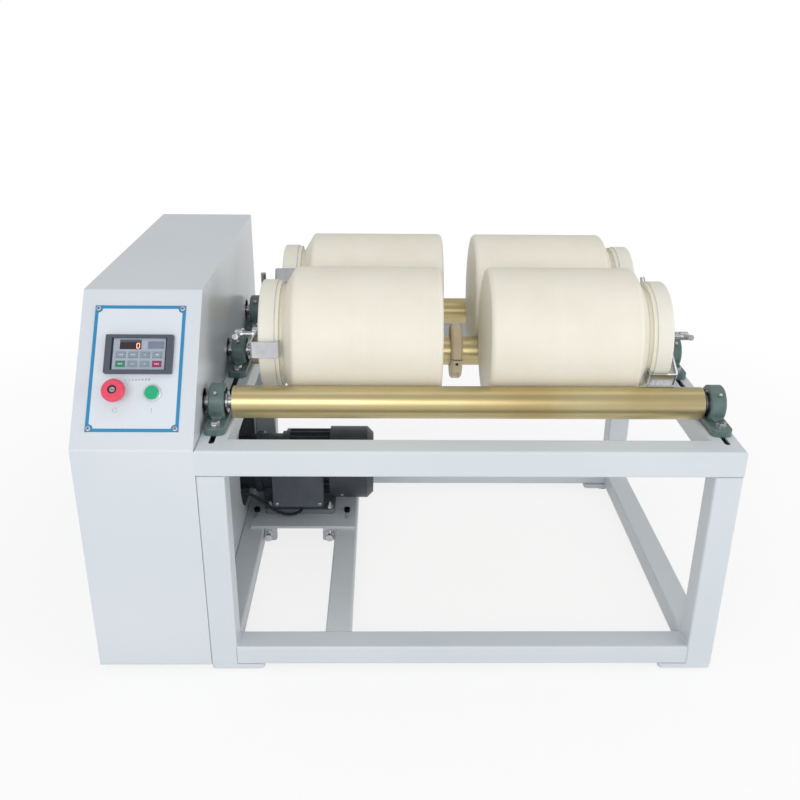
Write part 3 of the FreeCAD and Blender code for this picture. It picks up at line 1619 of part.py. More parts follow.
def motor_bolts():
    """Socket-head bolts of the plate, hex bolts of the motor's foot, and adjusting bolts with lock nuts."""
    low = plate_top()
    clamps = new_body("plate_bolts", 0, 0, low, many=True)
    heads = new_sketch(clamps, "XY_Plane")
    shanks = new_sketch(clamps, "XY_Plane")
    sockets = new_sketch(clamps, "XY_Plane", s.plate_bolt_head_height)
    for side in (0, 1):
        for y in (s.plate_bolt_y, s.plate_bolt_back_y):
            draw_circle(heads, plate_bolt_x(side), y, s.plate_bolt_head_radius)
            draw_circle(shanks, plate_bolt_x(side), y, s.plate_bolt_radius)
            draw_hexagon(sockets, plate_bolt_x(side), y, s.plate_bolt_socket_radius)
    pad(clamps, heads, s.plate_bolt_head_height)
    pad(clamps, shanks, s.plate_thickness + s.plate_bolt_length, reverse=True)
    pocket(clamps, sockets, s.plate_bolt_head_height / 2)

    foot_bolts = new_body("foot_bolts", 0, 0, low - s.plate_thickness, many=True)
    nut_low = s.plate_thickness + s.motor_foot_thickness
    shank_top = nut_low + s.washer_thickness + s.foot_bolt_head_height + s.foot_bolt_proud
    washers = new_sketch(foot_bolts, "XY_Plane", nut_low)
    nuts = new_sketch(foot_bolts, "XY_Plane", nut_low + s.washer_thickness)
    shanks = new_sketch(foot_bolts, "XY_Plane")
    heads = new_sketch(foot_bolts, "XY_Plane")
    for x, y in foot_bolt_spots():
        draw_circle(washers, x, y, s.foot_bolt_washer_radius)
        draw_hexagon(nuts, x, y, s.foot_bolt_head_radius)
        draw_circle(shanks, x, y, s.foot_bolt_radius)
        draw_hexagon(heads, x, y, s.foot_bolt_head_radius)
    pad(foot_bolts, shanks, shank_top)
    pad(foot_bolts, washers, s.washer_thickness)
    pad(foot_bolts, nuts, s.foot_bolt_head_height)
    pad(foot_bolts, heads, s.foot_bolt_head_height, reverse=True)

    level = low - s.plate_thickness - s.adjuster_drop
    pushers = new_body("adjusting_bolts", 0, s.plate_front, level, many=True)
    shank = new_sketch(pushers, "XZ_Plane", s.adjuster_length / 2)
    head = new_sketch(pushers, "XZ_Plane", s.adjuster_length / 2)
    nut = new_sketch(pushers, "XZ_Plane")
    for x in adjuster_middles():
        draw_circle(shank, x, 0, s.adjuster_radius)
        draw_hexagon(head, x, 0, s.bolt_head_radius)
        draw_hexagon(nut, x, 0, s.bolt_head_radius)
    pad(pushers, shank, s.adjuster_length, reverse=True)
    pad(pushers, head, s.bolt_head_height)
    pad(pushers, nut, s.bolt_head_height)
    keep("motor_bolts", clamps, foot_bolts, pushers)


def rounded_route(points):
    """Straight runs joined by tangent arcs, each as large as its two runs allow, and the radii."""
    edges = []
    radii = []
    start = points[0]
    for before, corner, after in zip(points, points[1:], points[2:]):
        into = (corner - before).normalize()
        away = (after - corner).normalize()
        half_turn = into.getAngle(away) / 2
        shorter = min((corner - before).Length, (after - corner).Length)
        setback = 0.45 * shorter
        radius = setback / math.tan(half_turn)
        radii.append(radius)
        first = corner - into * setback
        last = corner + away * setback
        inward = (away - into).normalize()
        middle = corner + inward * (radius / math.cos(half_turn) - radius)
        edges.append(Part.LineSegment(start, first).toShape())
        edges.append(Part.Arc(first, middle, last).toShape())
        start = last
    edges.append(Part.LineSegment(start, points[-1]).toShape())
    return Part.Wire(edges), radii


def motor_lead():
    """The lead from the terminal box through the wall's opening and up to the drive unit."""
    unit_low = s.keypad_height / 2 - s.drive_unit_gap
    end_x, end_y, end_z = on_slope(KEYPAD_X - s.key_pitch, KEYPAD_UP - unit_low,
                                   s.faceplate_thickness - s.drive_unit_depth / 2)
    gland_x, gland_y, gland_z = gland_end()
    entry = s.lead_entry_run.value
    # The points between the two fixed ends are chosen by hand.
    route = [
        (gland_x.value, gland_y.value, gland_z.value),
        (gland_x.value, gland_y.value, gland_z.value - s.lead_exit_drop.value),
        (118, 467, 70),
        (96, 464, 71),
        (74, 461, 83),
        (54, 459, 100),
        (32, 460, 119),
        (2, 461, 134),
        (-32, 454, 137),
        (-68, 438, 130),
        (-104, 410, 128),
        (-130, 372, 142),
        (-142, 330, 176),
        (-146, 288, 222),
        (-146, 246, 272),
        (-145, 204, 324),
        (-139, 160, 376),
        (-132, 116, 424),
        (-128, 90, 480),
        (end_x.value, end_y.value - entry * SLOPE_BACK.value, end_z.value - entry * SLOPE_UP.value),
        (end_x.value, end_y.value, end_z.value),
    ]
    shift = V(MIDDLE_X.value, MIDDLE_Y.value, 0)
    points = [V(*point) - shift for point in route]
    path, radii = rounded_route(points)
    start_circle = Part.Wire([Part.makeCircle(s.lead_radius.value, points[0], points[1] - points[0])])
    tube = path.makePipeShell([start_circle], True, False)
    expected = math.pi * s.lead_radius.value ** 2 * path.Length
    print("motor lead radii:", [round(radius, 1) for radius in radii])
    print("motor lead length:", round(path.Length, 1), "volume over section times length:",
          round(tube.Volume / expected, 4))
    lead = doc.addObject("Part::Feature", "motor_lead")
    lead.Shape = tube
    keep("motor_lead", lead)


# Jars

def jar_middle_y(row):
    return roller_y(row) + s.roller_spacing / 2


def jar_middle_z():
    """A jar's axis stands above the two rollers by its share of the triangle between their centres."""
    reach = s.jar_radius + s.roller_radius + s.contact_gap
    half = s.roller_spacing / 2
    return axle_z() + root(reach * reach - half * half)


def jar(name, bottom, way, row, strap_angle, handle_angle):
    """One ceramic jar with its lid, gasket and clamp. Way is -1 where the mouth is to the left."""
    y = jar_middle_y(row)
    z = jar_middle_z()
    shell = new_body(f"jar_{name}", bottom, y, z)
    inner = s.jar_radius - s.jar_wall
    inner_shoulder = s.jar_shoulder_start - s.jar_wall / 2
    inner_neck = s.jar_shoulder_end - s.jar_wall / 4
    turn(shell, [
        (0, 0),
        (0, s.jar_radius),
        (way * s.jar_shoulder_start, s.jar_radius),
        (way * s.jar_shoulder_end, s.jar_neck_radius),
        (way * s.jar_flange_start, s.jar_neck_radius),
        (way * s.jar_flange_start, s.jar_flange_radius),
        (way * s.jar_length, s.jar_flange_radius),
        (way * s.jar_length, s.jar_mouth_radius),
        (way * inner_neck, s.jar_mouth_radius),
        (way * inner_shoulder, inner),
        (way * s.jar_base, inner),
        (way * s.jar_base, 0),
    ])
    rim = [(as_size(0), s.jar_radius), (way * s.jar_shoulder_start, s.jar_radius)]
    round_edges(shell, s.jar_base_round, lambda edge: any(is_ring(edge, *place_of) for place_of in rim))
    keep(f"jar_{name}", shell)

    seat = s.jar_length
    lid_low = seat + s.gasket_thickness
    lid_top = lid_low + s.lid_thickness
    plug = s.jar_mouth_radius - s.lid_plug_gap
    plug_end = seat - s.lid_plug_length
    lid = new_body(f"lid_{name}", bottom, y, z)
    turn(lid, [
        (way * plug_end, 0),
        (way * plug_end, plug - s.lid_plug_bevel),
        (way * (plug_end + s.lid_plug_bevel), plug),
        (way * lid_low, plug),
        (way * lid_low, s.lid_radius),
        (way * lid_top, s.lid_radius),
        (way * lid_top, 0),
    ])
    round_edges(lid, s.lid_round, lambda edge: is_ring(edge, way * lid_top, s.lid_radius))
    gasket = new_body(f"gasket_{name}", bottom, y, z)
    turn(gasket, [
        (way * seat, plug + s.lid_plug_gap),
        (way * lid_low, plug + s.lid_plug_gap),
        (way * lid_low, s.gasket_radius),
        (way * seat, s.gasket_radius),
    ])
    keep(f"lid_{name}", lid, gasket)

    yoke(name, bottom, way, y, z, lid_top, strap_angle)
    clamp_screw(name, bottom, way, y, z, lid_top, handle_angle)


def yoke(name, bottom, way, y, z, lid_top, strap_angle):
    """A bent strap over the lid whose two hooks grip behind the jar's flange, with a threaded boss."""
    bar_low = lid_top + s.strap_standoff
    bar_top = bar_low + s.strap_thickness
    hook_top = s.jar_flange_start
    hook_low = hook_top - s.strap_thickness
    near = s.strap_inner_reach
    far = s.strap_inner_reach + s.strap_thickness
    strap = new_body(f"strap_{name}", bottom, y, z, X_AXIS, strap_angle)
    outline = new_sketch(strap, "XY_Plane", -s.strap_width / 2)
    draw_loop(outline, [
        (way * hook_low, s.hook_reach),
        (way * hook_low, far),
        (way * bar_top, far),
        (way * bar_top, -far),
        (way * hook_low, -far),
        (way * hook_low, -s.hook_reach),
        (way * hook_top, -s.hook_reach),
        (way * hook_top, -near),
        (way * bar_low, -near),
        (way * bar_low, near),
        (way * hook_top, near),
        (way * hook_top, s.hook_reach),
    ])
    pad(strap, outline, s.strap_width)
    round_edges(strap, s.strap_bend + s.strap_thickness, lambda edge: is_bend(edge, (hook_low, bar_top), far))
    round_edges(strap, s.strap_bend, lambda edge: is_bend(edge, (hook_top, bar_low), near))
    boss = new_sketch(strap, "YZ_Plane", way * bar_top)
    draw_circle(boss, 0, 0, s.strap_boss_radius)
    pad(strap, boss, s.strap_boss_length, reverse=way < 0)
    thread = new_sketch(strap, "YZ_Plane", way * bar_low)
    draw_circle(thread, 0, 0, s.screw_radius + s.running_gap)
    pocket(strap, thread, s.strap_thickness + s.strap_boss_length, reverse=way > 0)
    keep(f"yoke_{name}", strap)


def is_bend(edge, places, reach):
    """True for the strap's corner edges at these places along the jar and this reach from its axis."""
    if not runs_along(edge, Z_AXIS):
        return False
    spot = edge.CenterOfMass
    in_place = any(abs(abs(spot.x) - along.value) < 0.01 for along in places)
    return in_place and abs(abs(spot.y) - reach.value) < 0.01


def clamp_screw(name, bottom, way, y, z, lid_top, handle_angle):
    """The screw that presses the lid, with its foot, hub and cross handle."""
    handle = lid_top + s.handle_offset
    hub_low = handle - s.handle_hub_length / 2
    hub_top = handle + s.handle_hub_length / 2
    foot_top = lid_top + s.screw_foot_thickness
    screw = new_body(f"screw_{name}", bottom, y, z, X_AXIS, handle_angle)
    turn(screw, [
        (way * lid_top, 0),
        (way * lid_top, s.screw_foot_radius),
        (way * foot_top, s.screw_foot_radius),
        (way * foot_top, s.screw_radius),
        (way * hub_low, s.screw_radius),
        (way * hub_low, s.handle_hub_radius),
        (way * (hub_top - s.handle_hub_bevel), s.handle_hub_radius),
        (way * hub_top, s.handle_hub_radius - s.handle_hub_bevel),
        (way * hub_top, 0),
    ])
    grip = new_sketch(screw, "XZ_Plane", -s.handle_half_length)
    draw_circle(grip, way * handle, 0, s.handle_radius)
    pad(screw, grip, 2 * s.handle_half_length)
    keep(f"clamp_screw_{name}", screw)


def jars():
    jar("front_left", s.front_left_bottom, -1, 0, s.front_left_strap_angle, s.front_left_handle_angle)
    jar("rear_left", s.rear_left_bottom, -1, 1, s.rear_left_strap_angle, s.rear_left_handle_angle)
    jar("front_right", s.front_right_bottom, 1, 0, s.front_right_strap_angle, s.front_right_handle_angle)
    jar("rear_right", s.rear_right_bottom, 1, 1, s.rear_right_strap_angle, s.rear_right_handle_angle)


def check_document():
    """Stop unless every object computed, every sub-part is a valid solid and every cut took material away."""
    for item in doc.Objects:
        if "Invalid" in item.State or "Error" in item.State:
            raise RuntimeError(f"{item.Name} failed: {item.State}")
        if item.TypeId == "PartDesign::Pocket" and item.BaseFeature is not None:
            if item.Shape.Volume > item.BaseFeature.Shape.Volume - 1e-6:
                raise RuntimeError(f"{item.Name} cuts nothing")
    for label, item in NODES.items():
        shape = item.Shape
        if shape.isNull() or not shape.isValid() or not shape.Solids:
            raise RuntimeError(f"{label} has no valid solid")


def export_parts():
    os.makedirs("parts", exist_ok=True)
    for label, item in NODES.items():
        item.Shape.exportStep(f"parts/{label}.step")


deck_rails()
leg_frame()
foot_pads()
cabinet()
cabinet_screws()
faceplate()
keypad_bezel()
display_window()
keys()
buttons()
pillow_blocks()
block_bolts()
grease_nipples()
rollers()
stop_ring()
sprockets()
chains()
gearbox()
motor_body()
motor_fan()
terminal_box()
slide_plate()
motor_bolts()
motor_lead()
jars()
doc.recompute()
check_document()
export_parts()
print(len(NODES), "sub-parts written")
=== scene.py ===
import math

import bmesh
import bpy
from mathutils import Matrix, Vector


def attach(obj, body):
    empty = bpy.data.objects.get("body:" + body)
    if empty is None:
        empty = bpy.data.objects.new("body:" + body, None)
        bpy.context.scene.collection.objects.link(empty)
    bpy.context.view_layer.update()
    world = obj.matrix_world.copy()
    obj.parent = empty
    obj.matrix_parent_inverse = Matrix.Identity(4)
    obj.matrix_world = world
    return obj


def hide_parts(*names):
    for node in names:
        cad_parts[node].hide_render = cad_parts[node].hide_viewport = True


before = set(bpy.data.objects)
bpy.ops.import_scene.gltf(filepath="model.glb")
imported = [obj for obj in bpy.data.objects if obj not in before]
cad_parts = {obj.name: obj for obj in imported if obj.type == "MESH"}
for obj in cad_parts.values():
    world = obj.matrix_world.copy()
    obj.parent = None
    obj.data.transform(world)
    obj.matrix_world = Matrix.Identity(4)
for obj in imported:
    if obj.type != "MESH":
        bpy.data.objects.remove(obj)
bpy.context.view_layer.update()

# Places on the machine, in metres, measured as in the construction: X from the cabinet wall,
# Y from the front face, Z from the floor. The model's origin lies below its middle.
MIDDLE_X = 0.37275
MIDDLE_Y = 0.415
AXLE_Z = 0.5065
ROLLER_Y = (0.130, 0.404, 0.678)
BLOCK_X = (0.025, 0.935)
SLOPE_RUN = 0.185
SLOPE_RISE = 0.232
SLOPE_FOOT = 0.470
PANEL_TILT = math.atan2(SLOPE_RISE, SLOPE_RUN)
JARS = ("front_left", "rear_left", "front_right", "rear_right")


def spot(x, y, z):
    """A place on the machine as a point of the model."""
    return Vector((x - MIDDLE_X, y - MIDDLE_Y, z))


def tone(red, green, blue):
    """A colour as a screen shows it, made linear."""
    linear = []
    for level in (red, green, blue):
        share = level / 255
        linear.append(share / 12.92 if share <= 0.04045 else ((share + 0.055) / 1.055) ** 2.4)
    return (*linear, 1.0)


# Finishes

class Finish:
    """A material under construction: its shader and the nodes that vary it over the piece."""

    def __init__(self, name, colour, rough, metal=0.0, **sockets):
        self.material = bpy.data.materials.new(name)
        self.material.use_nodes = True
        self.nodes = self.material.node_tree.nodes
        self.links = self.material.node_tree.links
        self.shader = self.nodes["Principled BSDF"]
        self.shader.inputs["Base Color"].default_value = colour
        self.shader.inputs["Roughness"].default_value = rough
        self.shader.inputs["Metallic"].default_value = metal
        for socket, value in sockets.items():
            self.shader.inputs[socket.replace("_", " ")].default_value = value
        self.where = self.nodes.new("ShaderNodeTexCoord").outputs["Object"]
        self.height = None

    def node(self, kind, values=None, **settings):
        """A node with some settings, whose inputs take numbers or other nodes' outputs."""
        node = self.nodes.new(kind)
        for name, value in settings.items():
            setattr(node, name, value)
        for name, value in (values or {}).items():
            if isinstance(value, bpy.types.NodeSocket):
                self.links.new(value, node.inputs[name])
            else:
                node.inputs[name].default_value = value
        return node

    def grain(self, scale, detail=2.0, stretch=(1, 1, 1), rough=0.5):
        """Noise of so many blotches a metre, drawn out along an axis by a small stretch."""
        mapped = self.node("ShaderNodeMapping", {"Vector": self.where, "Scale": stretch})
        noise = self.node("ShaderNodeTexNoise", {
            "Vector": mapped.outputs["Vector"], "Scale": scale, "Detail": detail, "Roughness": rough})
        return noise.outputs["Fac"]

    def spread(self, factor, low, high, start=0.3, stop=0.7):
        """Turn noise into numbers from low to high."""
        return self.node("ShaderNodeMapRange", {
            "Value": factor, "From Min": start, "From Max": stop, "To Min": low, "To Max": high}).outputs["Result"]

    def blend(self, factor, first, second):
        """A colour between two, by a factor."""
        return self.node("ShaderNodeMix", {0: factor, 6: first, 7: second}, data_type="RGBA").outputs[2]

    def reckon(self, operation, first, second=0.0):
        return self.node("ShaderNodeMath", {0: first, 1: second}, operation=operation).outputs[0]

    def axis(self, name):
        return self.node("ShaderNodeSeparateXYZ", {0: self.where}).outputs[name]

    def set(self, socket, value):
        self.links.new(value, self.shader.inputs[socket])

    def emboss(self, factor, depth, strength=1.0):
        """Raise the surface by a pattern. Calls add up."""
        values = {"Height": factor, "Distance": depth, "Strength": strength}
        if self.height is not None:
            values["Normal"] = self.height
        self.height = self.node("ShaderNodeBump", values).outputs["Normal"]
        self.set("Normal", self.height)


def powder_coat(name, colour, shadow, rough=0.42):
    """Baked paint: a fine orange peel, faint clouding and a few slightly dull places."""
    coat = Finish(name, colour, rough)
    clouds = coat.grain(2.6, 2.0)
    rubs = coat.grain(5.0, 3.0, (1, 1, 0.6), 0.5)
    coat.set("Base Color", coat.blend(coat.spread(clouds, 0.0, 1.0), colour, shadow))
    coat.set("Roughness", coat.spread(rubs, rough - 0.01, rough + 0.03, 0.4, 0.75))
    coat.emboss(coat.grain(420.0, 2.0), 0.00004, 0.3)
    return coat.material


def turned_brass():
    """Sleeve brass with a satin skin: faint turning lines, soft stains and bands rubbed by the jars."""
    brass = Finish("turned_brass", tone(204, 188, 142), 0.3, 1.0)
    lines = brass.grain(260.0, 1.0, (1, 0.01, 0.01))
    bands = brass.grain(7.0, 2.0, (1, 0.05, 0.05), 0.4)
    stains = brass.grain(13.0, 3.0, (0.3, 1, 1), 0.5)
    soft = brass.blend(brass.spread(stains, 0.0, 1.0, 0.4, 0.75), tone(202, 189, 147), tone(194, 176, 127))
    brass.set("Base Color", brass.blend(brass.spread(bands, 0.0, 0.55, 0.5, 0.7), soft, tone(184, 160, 106)))
    brass.set("Roughness", brass.spread(stains, 0.3, 0.38))
    brass.emboss(lines, 0.000002, 0.25)
    return brass.material


def fired_ceramic(name, colour, shadow):
    """Unglazed alumina: matt, slightly clouded, with a fine tooth and pale rubbed rings."""
    ceramic = Finish(name, colour, 0.5, Specular_IOR_Level=0.4, Subsurface_Weight=0.12, Subsurface_Scale=0.012)
    clouds = ceramic.grain(11.0, 4.0, rough=0.6)
    rings = ceramic.grain(30.0, 3.0, (1, 0.04, 0.04))
    specks = ceramic.grain(900.0, 1.0)
    body = ceramic.blend(ceramic.spread(clouds, 0.0, 0.8), colour, shadow)
    worn = ceramic.blend(ceramic.spread(rings, 0.0, 0.18, 0.5, 0.8), body, tone(241, 239, 230))
    ceramic.set("Base Color", ceramic.blend(ceramic.spread(specks, 0.0, 0.25, 0.68, 0.8), worn, shadow))
    ceramic.set("Roughness", ceramic.spread(rings, 0.42, 0.58))
    ceramic.emboss(specks, 0.00005, 0.35)
    ceramic.emboss(clouds, 0.0008, 0.1)
    return ceramic.material


def rolled_metal(name, colour, rough, stretch=(1, 1, 1), scale=260.0):
    """Bright metal with fine drawn lines and a few duller patches."""
    metal = Finish(name, colour, rough, 1.0)
    lines = metal.grain(scale, 3.0, stretch)
    patches = metal.grain(24.0, 3.0)
    dull = tuple(0.72 * level for level in colour[:3]) + (1.0,)
    metal.set("Base Color", metal.blend(metal.spread(patches, 0.0, 0.7), colour, dull))
    metal.set("Roughness", metal.spread(lines, rough - 0.08, rough + 0.12))
    metal.emboss(lines, 0.00003, 0.4)
    return metal.material


def cast_paint(name, colour, shadow, rough=0.4, lumps=190.0):
    """Paint over a sand casting: lumpy skin, darker clouds and a soft gloss."""
    cast = Finish(name, colour, rough)
    skin = cast.grain(lumps, 4.0, rough=0.6)
    clouds = cast.grain(30.0, 3.0)
    cast.set("Base Color", cast.blend(cast.spread(clouds, 0.0, 1.0), colour, shadow))
    cast.set("Roughness", cast.spread(skin, rough - 0.06, rough + 0.16))
    cast.emboss(skin, 0.0005, 0.45)
    return cast


def moulded(name, colour, rough=0.35, grain=1400.0, depth=0.00002, smear=0.6, **sockets):
    """Moulded plastic or rubber with a fine eroded grain."""
    plastic = Finish(name, colour, rough, **sockets)
    fine = plastic.grain(grain, 2.0)
    smears = plastic.grain(60.0, 3.0)
    darker = tuple(0.86 * level for level in colour[:3]) + (1.0,)
    plastic.set("Base Color", plastic.blend(plastic.spread(smears, 0.0, smear), colour, darker))
    plastic.set("Roughness", plastic.spread(smears, rough - 0.05, rough + 0.1))
    plastic.emboss(fine, depth, 0.5)
    return plastic.material


def two_level_paint(low_colour, level):
    """Gear case paint whose foot, below a level, is the bare casting's lighter grey."""
    cast = cast_paint("gear_case_paint", tone(62, 67, 76), tone(50, 54, 62))
    upper = cast.shader.inputs["Base Color"].links[0].from_socket
    above = cast.reckon("GREATER_THAN", cast.axis("Z"), level)
    cast.set("Base Color", cast.blend(above, low_colour, upper))
    return cast.material


def two_level_bolts(low, high):
    """Black oxide on the plate's bolts, between two levels, and bright zinc on all others."""
    bolt = Finish("plate_bolt_steel", tone(36, 37, 40), 0.34, 0.9)
    height = bolt.axis("Z")
    band = bolt.reckon("MULTIPLY", bolt.reckon("GREATER_THAN", height, low), bolt.reckon("LESS_THAN", height, high))
    wear = bolt.spread(bolt.grain(300.0, 3.0), 0.0, 0.3, 0.5, 0.8)
    black = bolt.blend(wear, tone(34, 35, 38), tone(92, 94, 98))
    bright = bolt.blend(wear, tone(214, 216, 218), tone(150, 152, 156))
    bolt.set("Base Color", bolt.blend(band, bright, black))
    bolt.emboss(bolt.grain(900.0, 2.0), 0.00003, 0.4)
    return bolt.material


def smoked_window():
    window = Finish("smoked_window", tone(20, 18, 24), 0.08, Coat_Weight=0.6, Coat_Roughness=0.04)
    smears = window.grain(120.0, 3.0)
    window.set("Base Color", window.blend(window.spread(smears, 0.0, 1.0), tone(19, 17, 23), tone(36, 28, 33)))
    window.set("Roughness", window.spread(smears, 0.06, 0.2))
    return window.material


def lit(name, colour, strength):
    """A lamp segment that glows a little unevenly."""
    glow = Finish(name, colour, 0.4, Emission_Strength=strength)
    glow.set("Emission Color", glow.blend(glow.spread(glow.grain(700.0, 1.0), 0.0, 1.0), colour, tone(255, 196, 168)))
    return glow.material


FRAME_COAT = powder_coat("frame_powder_coat", tone(211, 218, 223), tone(205, 212, 218), 0.36)
CABINET_COAT = powder_coat("cabinet_powder_coat", tone(213, 219, 225), tone(207, 214, 221), 0.24)
BRASS = turned_brass()
CERAMIC = fired_ceramic("jar_ceramic", tone(234, 230, 217), tone(228, 223, 208))
LID_CERAMIC = fired_ceramic("lid_ceramic", tone(231, 229, 219), tone(226, 223, 210))
STAINLESS = rolled_metal("clamp_stainless", tone(210, 211, 215), 0.15, (1, 0.06, 0.06))
SHAFT_STEEL = rolled_metal("ground_shaft_steel", tone(176, 178, 182), 0.24, (1, 0.03, 0.03))
ZINC = rolled_metal("zinc_plated_steel", tone(205, 207, 210), 0.26)
CHAIN_STEEL = rolled_metal("oiled_chain_steel", tone(120, 119, 118), 0.34)
BLOCK_GREEN = cast_paint("block_casting_green", tone(98, 120, 116), tone(80, 102, 98), 0.34).material
MOTOR_PAINT = cast_paint("motor_paint", tone(66, 70, 78), tone(54, 58, 65), 0.38, 320.0).material
TERMINAL_PAINT = cast_paint("terminal_box_paint", tone(82, 87, 95), tone(72, 77, 85), 0.4, 320.0).material
GEAR_PAINT = two_level_paint(tone(112, 118, 126), 0.0745)
PLATE_PAINT = powder_coat("slide_plate_paint", tone(206, 211, 217), tone(196, 202, 209))
PLATE_BOLTS = two_level_bolts(0.0605, 0.0715)
RING_BEIGE = moulded("stop_ring_beige", tone(220, 204, 173), 0.45, 500.0, 0.00004)
RUBBER = moulded("foot_rubber", tone(34, 35, 36), 0.7, 700.0, 0.0001)
LEAD_JACKET = moulded("lead_jacket", tone(22, 23, 26), 0.55, 900.0, 0.00005)
FAN_PLASTIC = moulded("fan_plastic", tone(44, 45, 48), 0.45)
PLATE_PRINT = moulded("panel_print", tone(216, 223, 231), 0.32, 1800.0, 0.00001, 0.12)
BORDER_BLUE = moulded("border_blue", tone(40, 136, 184), 0.35, 1800.0, 0.00001, 0.3)
MARK_GREY = moulded("printed_marks", tone(168, 178, 192), 0.35, 1800.0, 0.00001)
KEYPAD_RIM = moulded("keypad_rim_grey", tone(76, 83, 96), 0.42)
# Dark navy used as painted shade at the foot of the keypad rim's inner walls.
KEYPAD_PAINTED_SHADE = moulded("keypad_painted_shade_navy", tone(34, 37, 58), 0.5)
KEYPAD_FIELD = moulded("keypad_field_film", tone(164, 175, 190), 0.3)
KEY_GREY = moulded("key_grey", tone(134, 148, 160), 0.35)
KEY_GREEN = moulded("key_green", tone(58, 128, 100), 0.35)
KEY_RED = moulded("key_magenta", tone(154, 44, 96), 0.35)
KEY_MARK = moulded("key_marks", tone(198, 207, 213), 0.4)
BADGE = moulded("blank_badge", tone(118, 130, 150), 0.2, Coat_Weight=0.5)
WINDOW = smoked_window()
LIT = lit("lit_segments", tone(255, 112, 74), 2.2)
UNLIT = moulded("unlit_segments", tone(58, 34, 36), 0.3)
LAMP_DOT = moulded("lamp_dots", tone(196, 204, 214), 0.25)
STOP_RED = moulded("stop_head_red", tone(231, 70, 98), 0.3, Coat_Weight=0.3)
STEM_BLACK = moulded("stem_black", tone(40, 42, 46), 0.4)
START_GREEN = moulded("start_lens_green", tone(10, 172, 122), 0.22, Coat_Weight=0.5)
BEZEL_LIGHT = rolled_metal("button_ring_light", tone(232, 236, 236), 0.48, (1, 1, 1), 600.0)
GASKET = moulded("gasket_silicone", tone(222, 216, 206), 0.5)
SEAL_BLACK = moulded("bearing_seal", tone(28, 30, 32), 0.45)

FINISHES = {
    "deck_rails": FRAME_COAT,
    "leg_frame": FRAME_COAT,
    "foot_pads": RUBBER,
    "cabinet_wrap": CABINET_COAT,
    "cabinet_wall": CABINET_COAT,
    "cabinet_cover": CABINET_COAT,
    "cabinet_screws": ZINC,
    "faceplate": PLATE_PRINT,
    "keypad_bezel": KEYPAD_RIM,
    "display_window": WINDOW,
    "button_bezels": BEZEL_LIGHT,
    "estop_stem": STEM_BLACK,
    "estop_button": STOP_RED,
    "start_button": START_GREEN,
    "key_run": KEY_GREEN,
    "key_stop": KEY_RED,
    "pillow_blocks": BLOCK_GREEN,
    "block_bolts": ZINC,
    "grease_nipples": ZINC,
    "stop_ring": RING_BEIGE,
    "chains": CHAIN_STEEL,
    "gearbox": GEAR_PAINT,
    "motor_body": MOTOR_PAINT,
    "motor_fan": FAN_PLASTIC,
    "terminal_box": TERMINAL_PAINT,
    "slide_plate": PLATE_PAINT,
    "motor_bolts": PLATE_BOLTS,
    "motor_lead": LEAD_JACKET,
}
STARTS = {
    "key_": KEY_GREY,
    "roller_": BRASS,
    "shaft_": SHAFT_STEEL,
    "sprocket": CHAIN_STEEL,
    "motor_sprocket": CHAIN_STEEL,
    "jar_": CERAMIC,
    "lid_": LID_CERAMIC,
    "yoke_": STAINLESS,
    "clamp_screw_": STAINLESS,
}


def dress(node_name, piece):
    """Give a carried-over piece its finish, by its name or by how its name starts."""
    finish = FINISHES.get(node_name)
    if finish is None:
        finish = next(value for start, value in STARTS.items() if node_name.startswith(start))
    piece.data.materials.clear()
    piece.data.materials.append(finish)


for node_name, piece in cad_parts.items():
    dress(node_name, piece)


# Pieces that the construction leaves to the finish

PANEL_X = -0.107
PANEL_UP = 0.0325
PLATE_THICKNESS = 0.0015
PLATE_WIDTH = 0.162
PLATE_HEIGHT = 0.233
PLATE_SCREW_INSET = 0.0065
SCREW_HEAD = 0.0025
KEYPAD_SHIFT = 0.0039
KEYPAD_RISE = 0.1399
KEYPAD_HALF_WIDTH = 0.0485
KEYPAD_HALF_HEIGHT = 0.0295
STOP_SHIFT = -0.0315
START_SHIFT = 0.0314
BUTTON_RISE = 0.0695
SIGN_RISE = 0.0395
SCALE_RISE = 0.0930
KEYPAD_FLOOR = 0.0045
KEY_PROUD = 0.0008
KEY_PITCH = 0.0213
KEY_ROW_PITCH = 0.017
KEY_SHIFT = 0.0004
KEY_DROP = 0.0096
SKIN = 0.0001


def panel_frame():
    """The matrix from the panel's own x across, y up the slope and z out to the model."""
    run = math.cos(PANEL_TILT)
    rise = math.sin(PANEL_TILT)
    foot = spot(
        PANEL_X,
        PANEL_UP * run - PLATE_THICKNESS * rise,
        SLOPE_FOOT + PANEL_UP * rise + PLATE_THICKNESS * run,
    )
    return Matrix.Translation(foot) @ Matrix.Rotation(PANEL_TILT, 4, "X")


PANEL = panel_frame()


def finish_piece(name, shape, finish, body):
    """Turn a bmesh into a named piece that rides on a body."""
    mesh = bpy.data.meshes.new(name)
    shape.to_mesh(mesh)
    shape.free()
    mesh.materials.append(finish)
    mesh.shade_smooth()
    mesh.set_sharp_from_angle(angle=math.radians(35))
    piece = bpy.data.objects.new(name, mesh)
    bpy.context.scene.collection.objects.link(piece)
    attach(piece, body)
    return piece


def add_plate(shape, x, y, width, height, low, high, corner=0.0):
    """A thin flat plate on the panel, its corners rounded if asked."""
    made = bmesh.ops.create_cube(shape, size=1.0)["verts"]
    bmesh.ops.scale(shape, vec=(width, height, high - low), verts=made)
    bmesh.ops.translate(shape, vec=(x, y, (low + high) / 2), verts=made)
    if corner:
        upright = [edge for edge in {e for v in made for e in v.link_edges}
                   if abs(edge.verts[0].co.z - edge.verts[1].co.z) > (high - low) / 2]
        bmesh.ops.bevel(shape, geom=upright, offset=corner, affect="EDGES", segments=4, profile=0.5, material=-1)


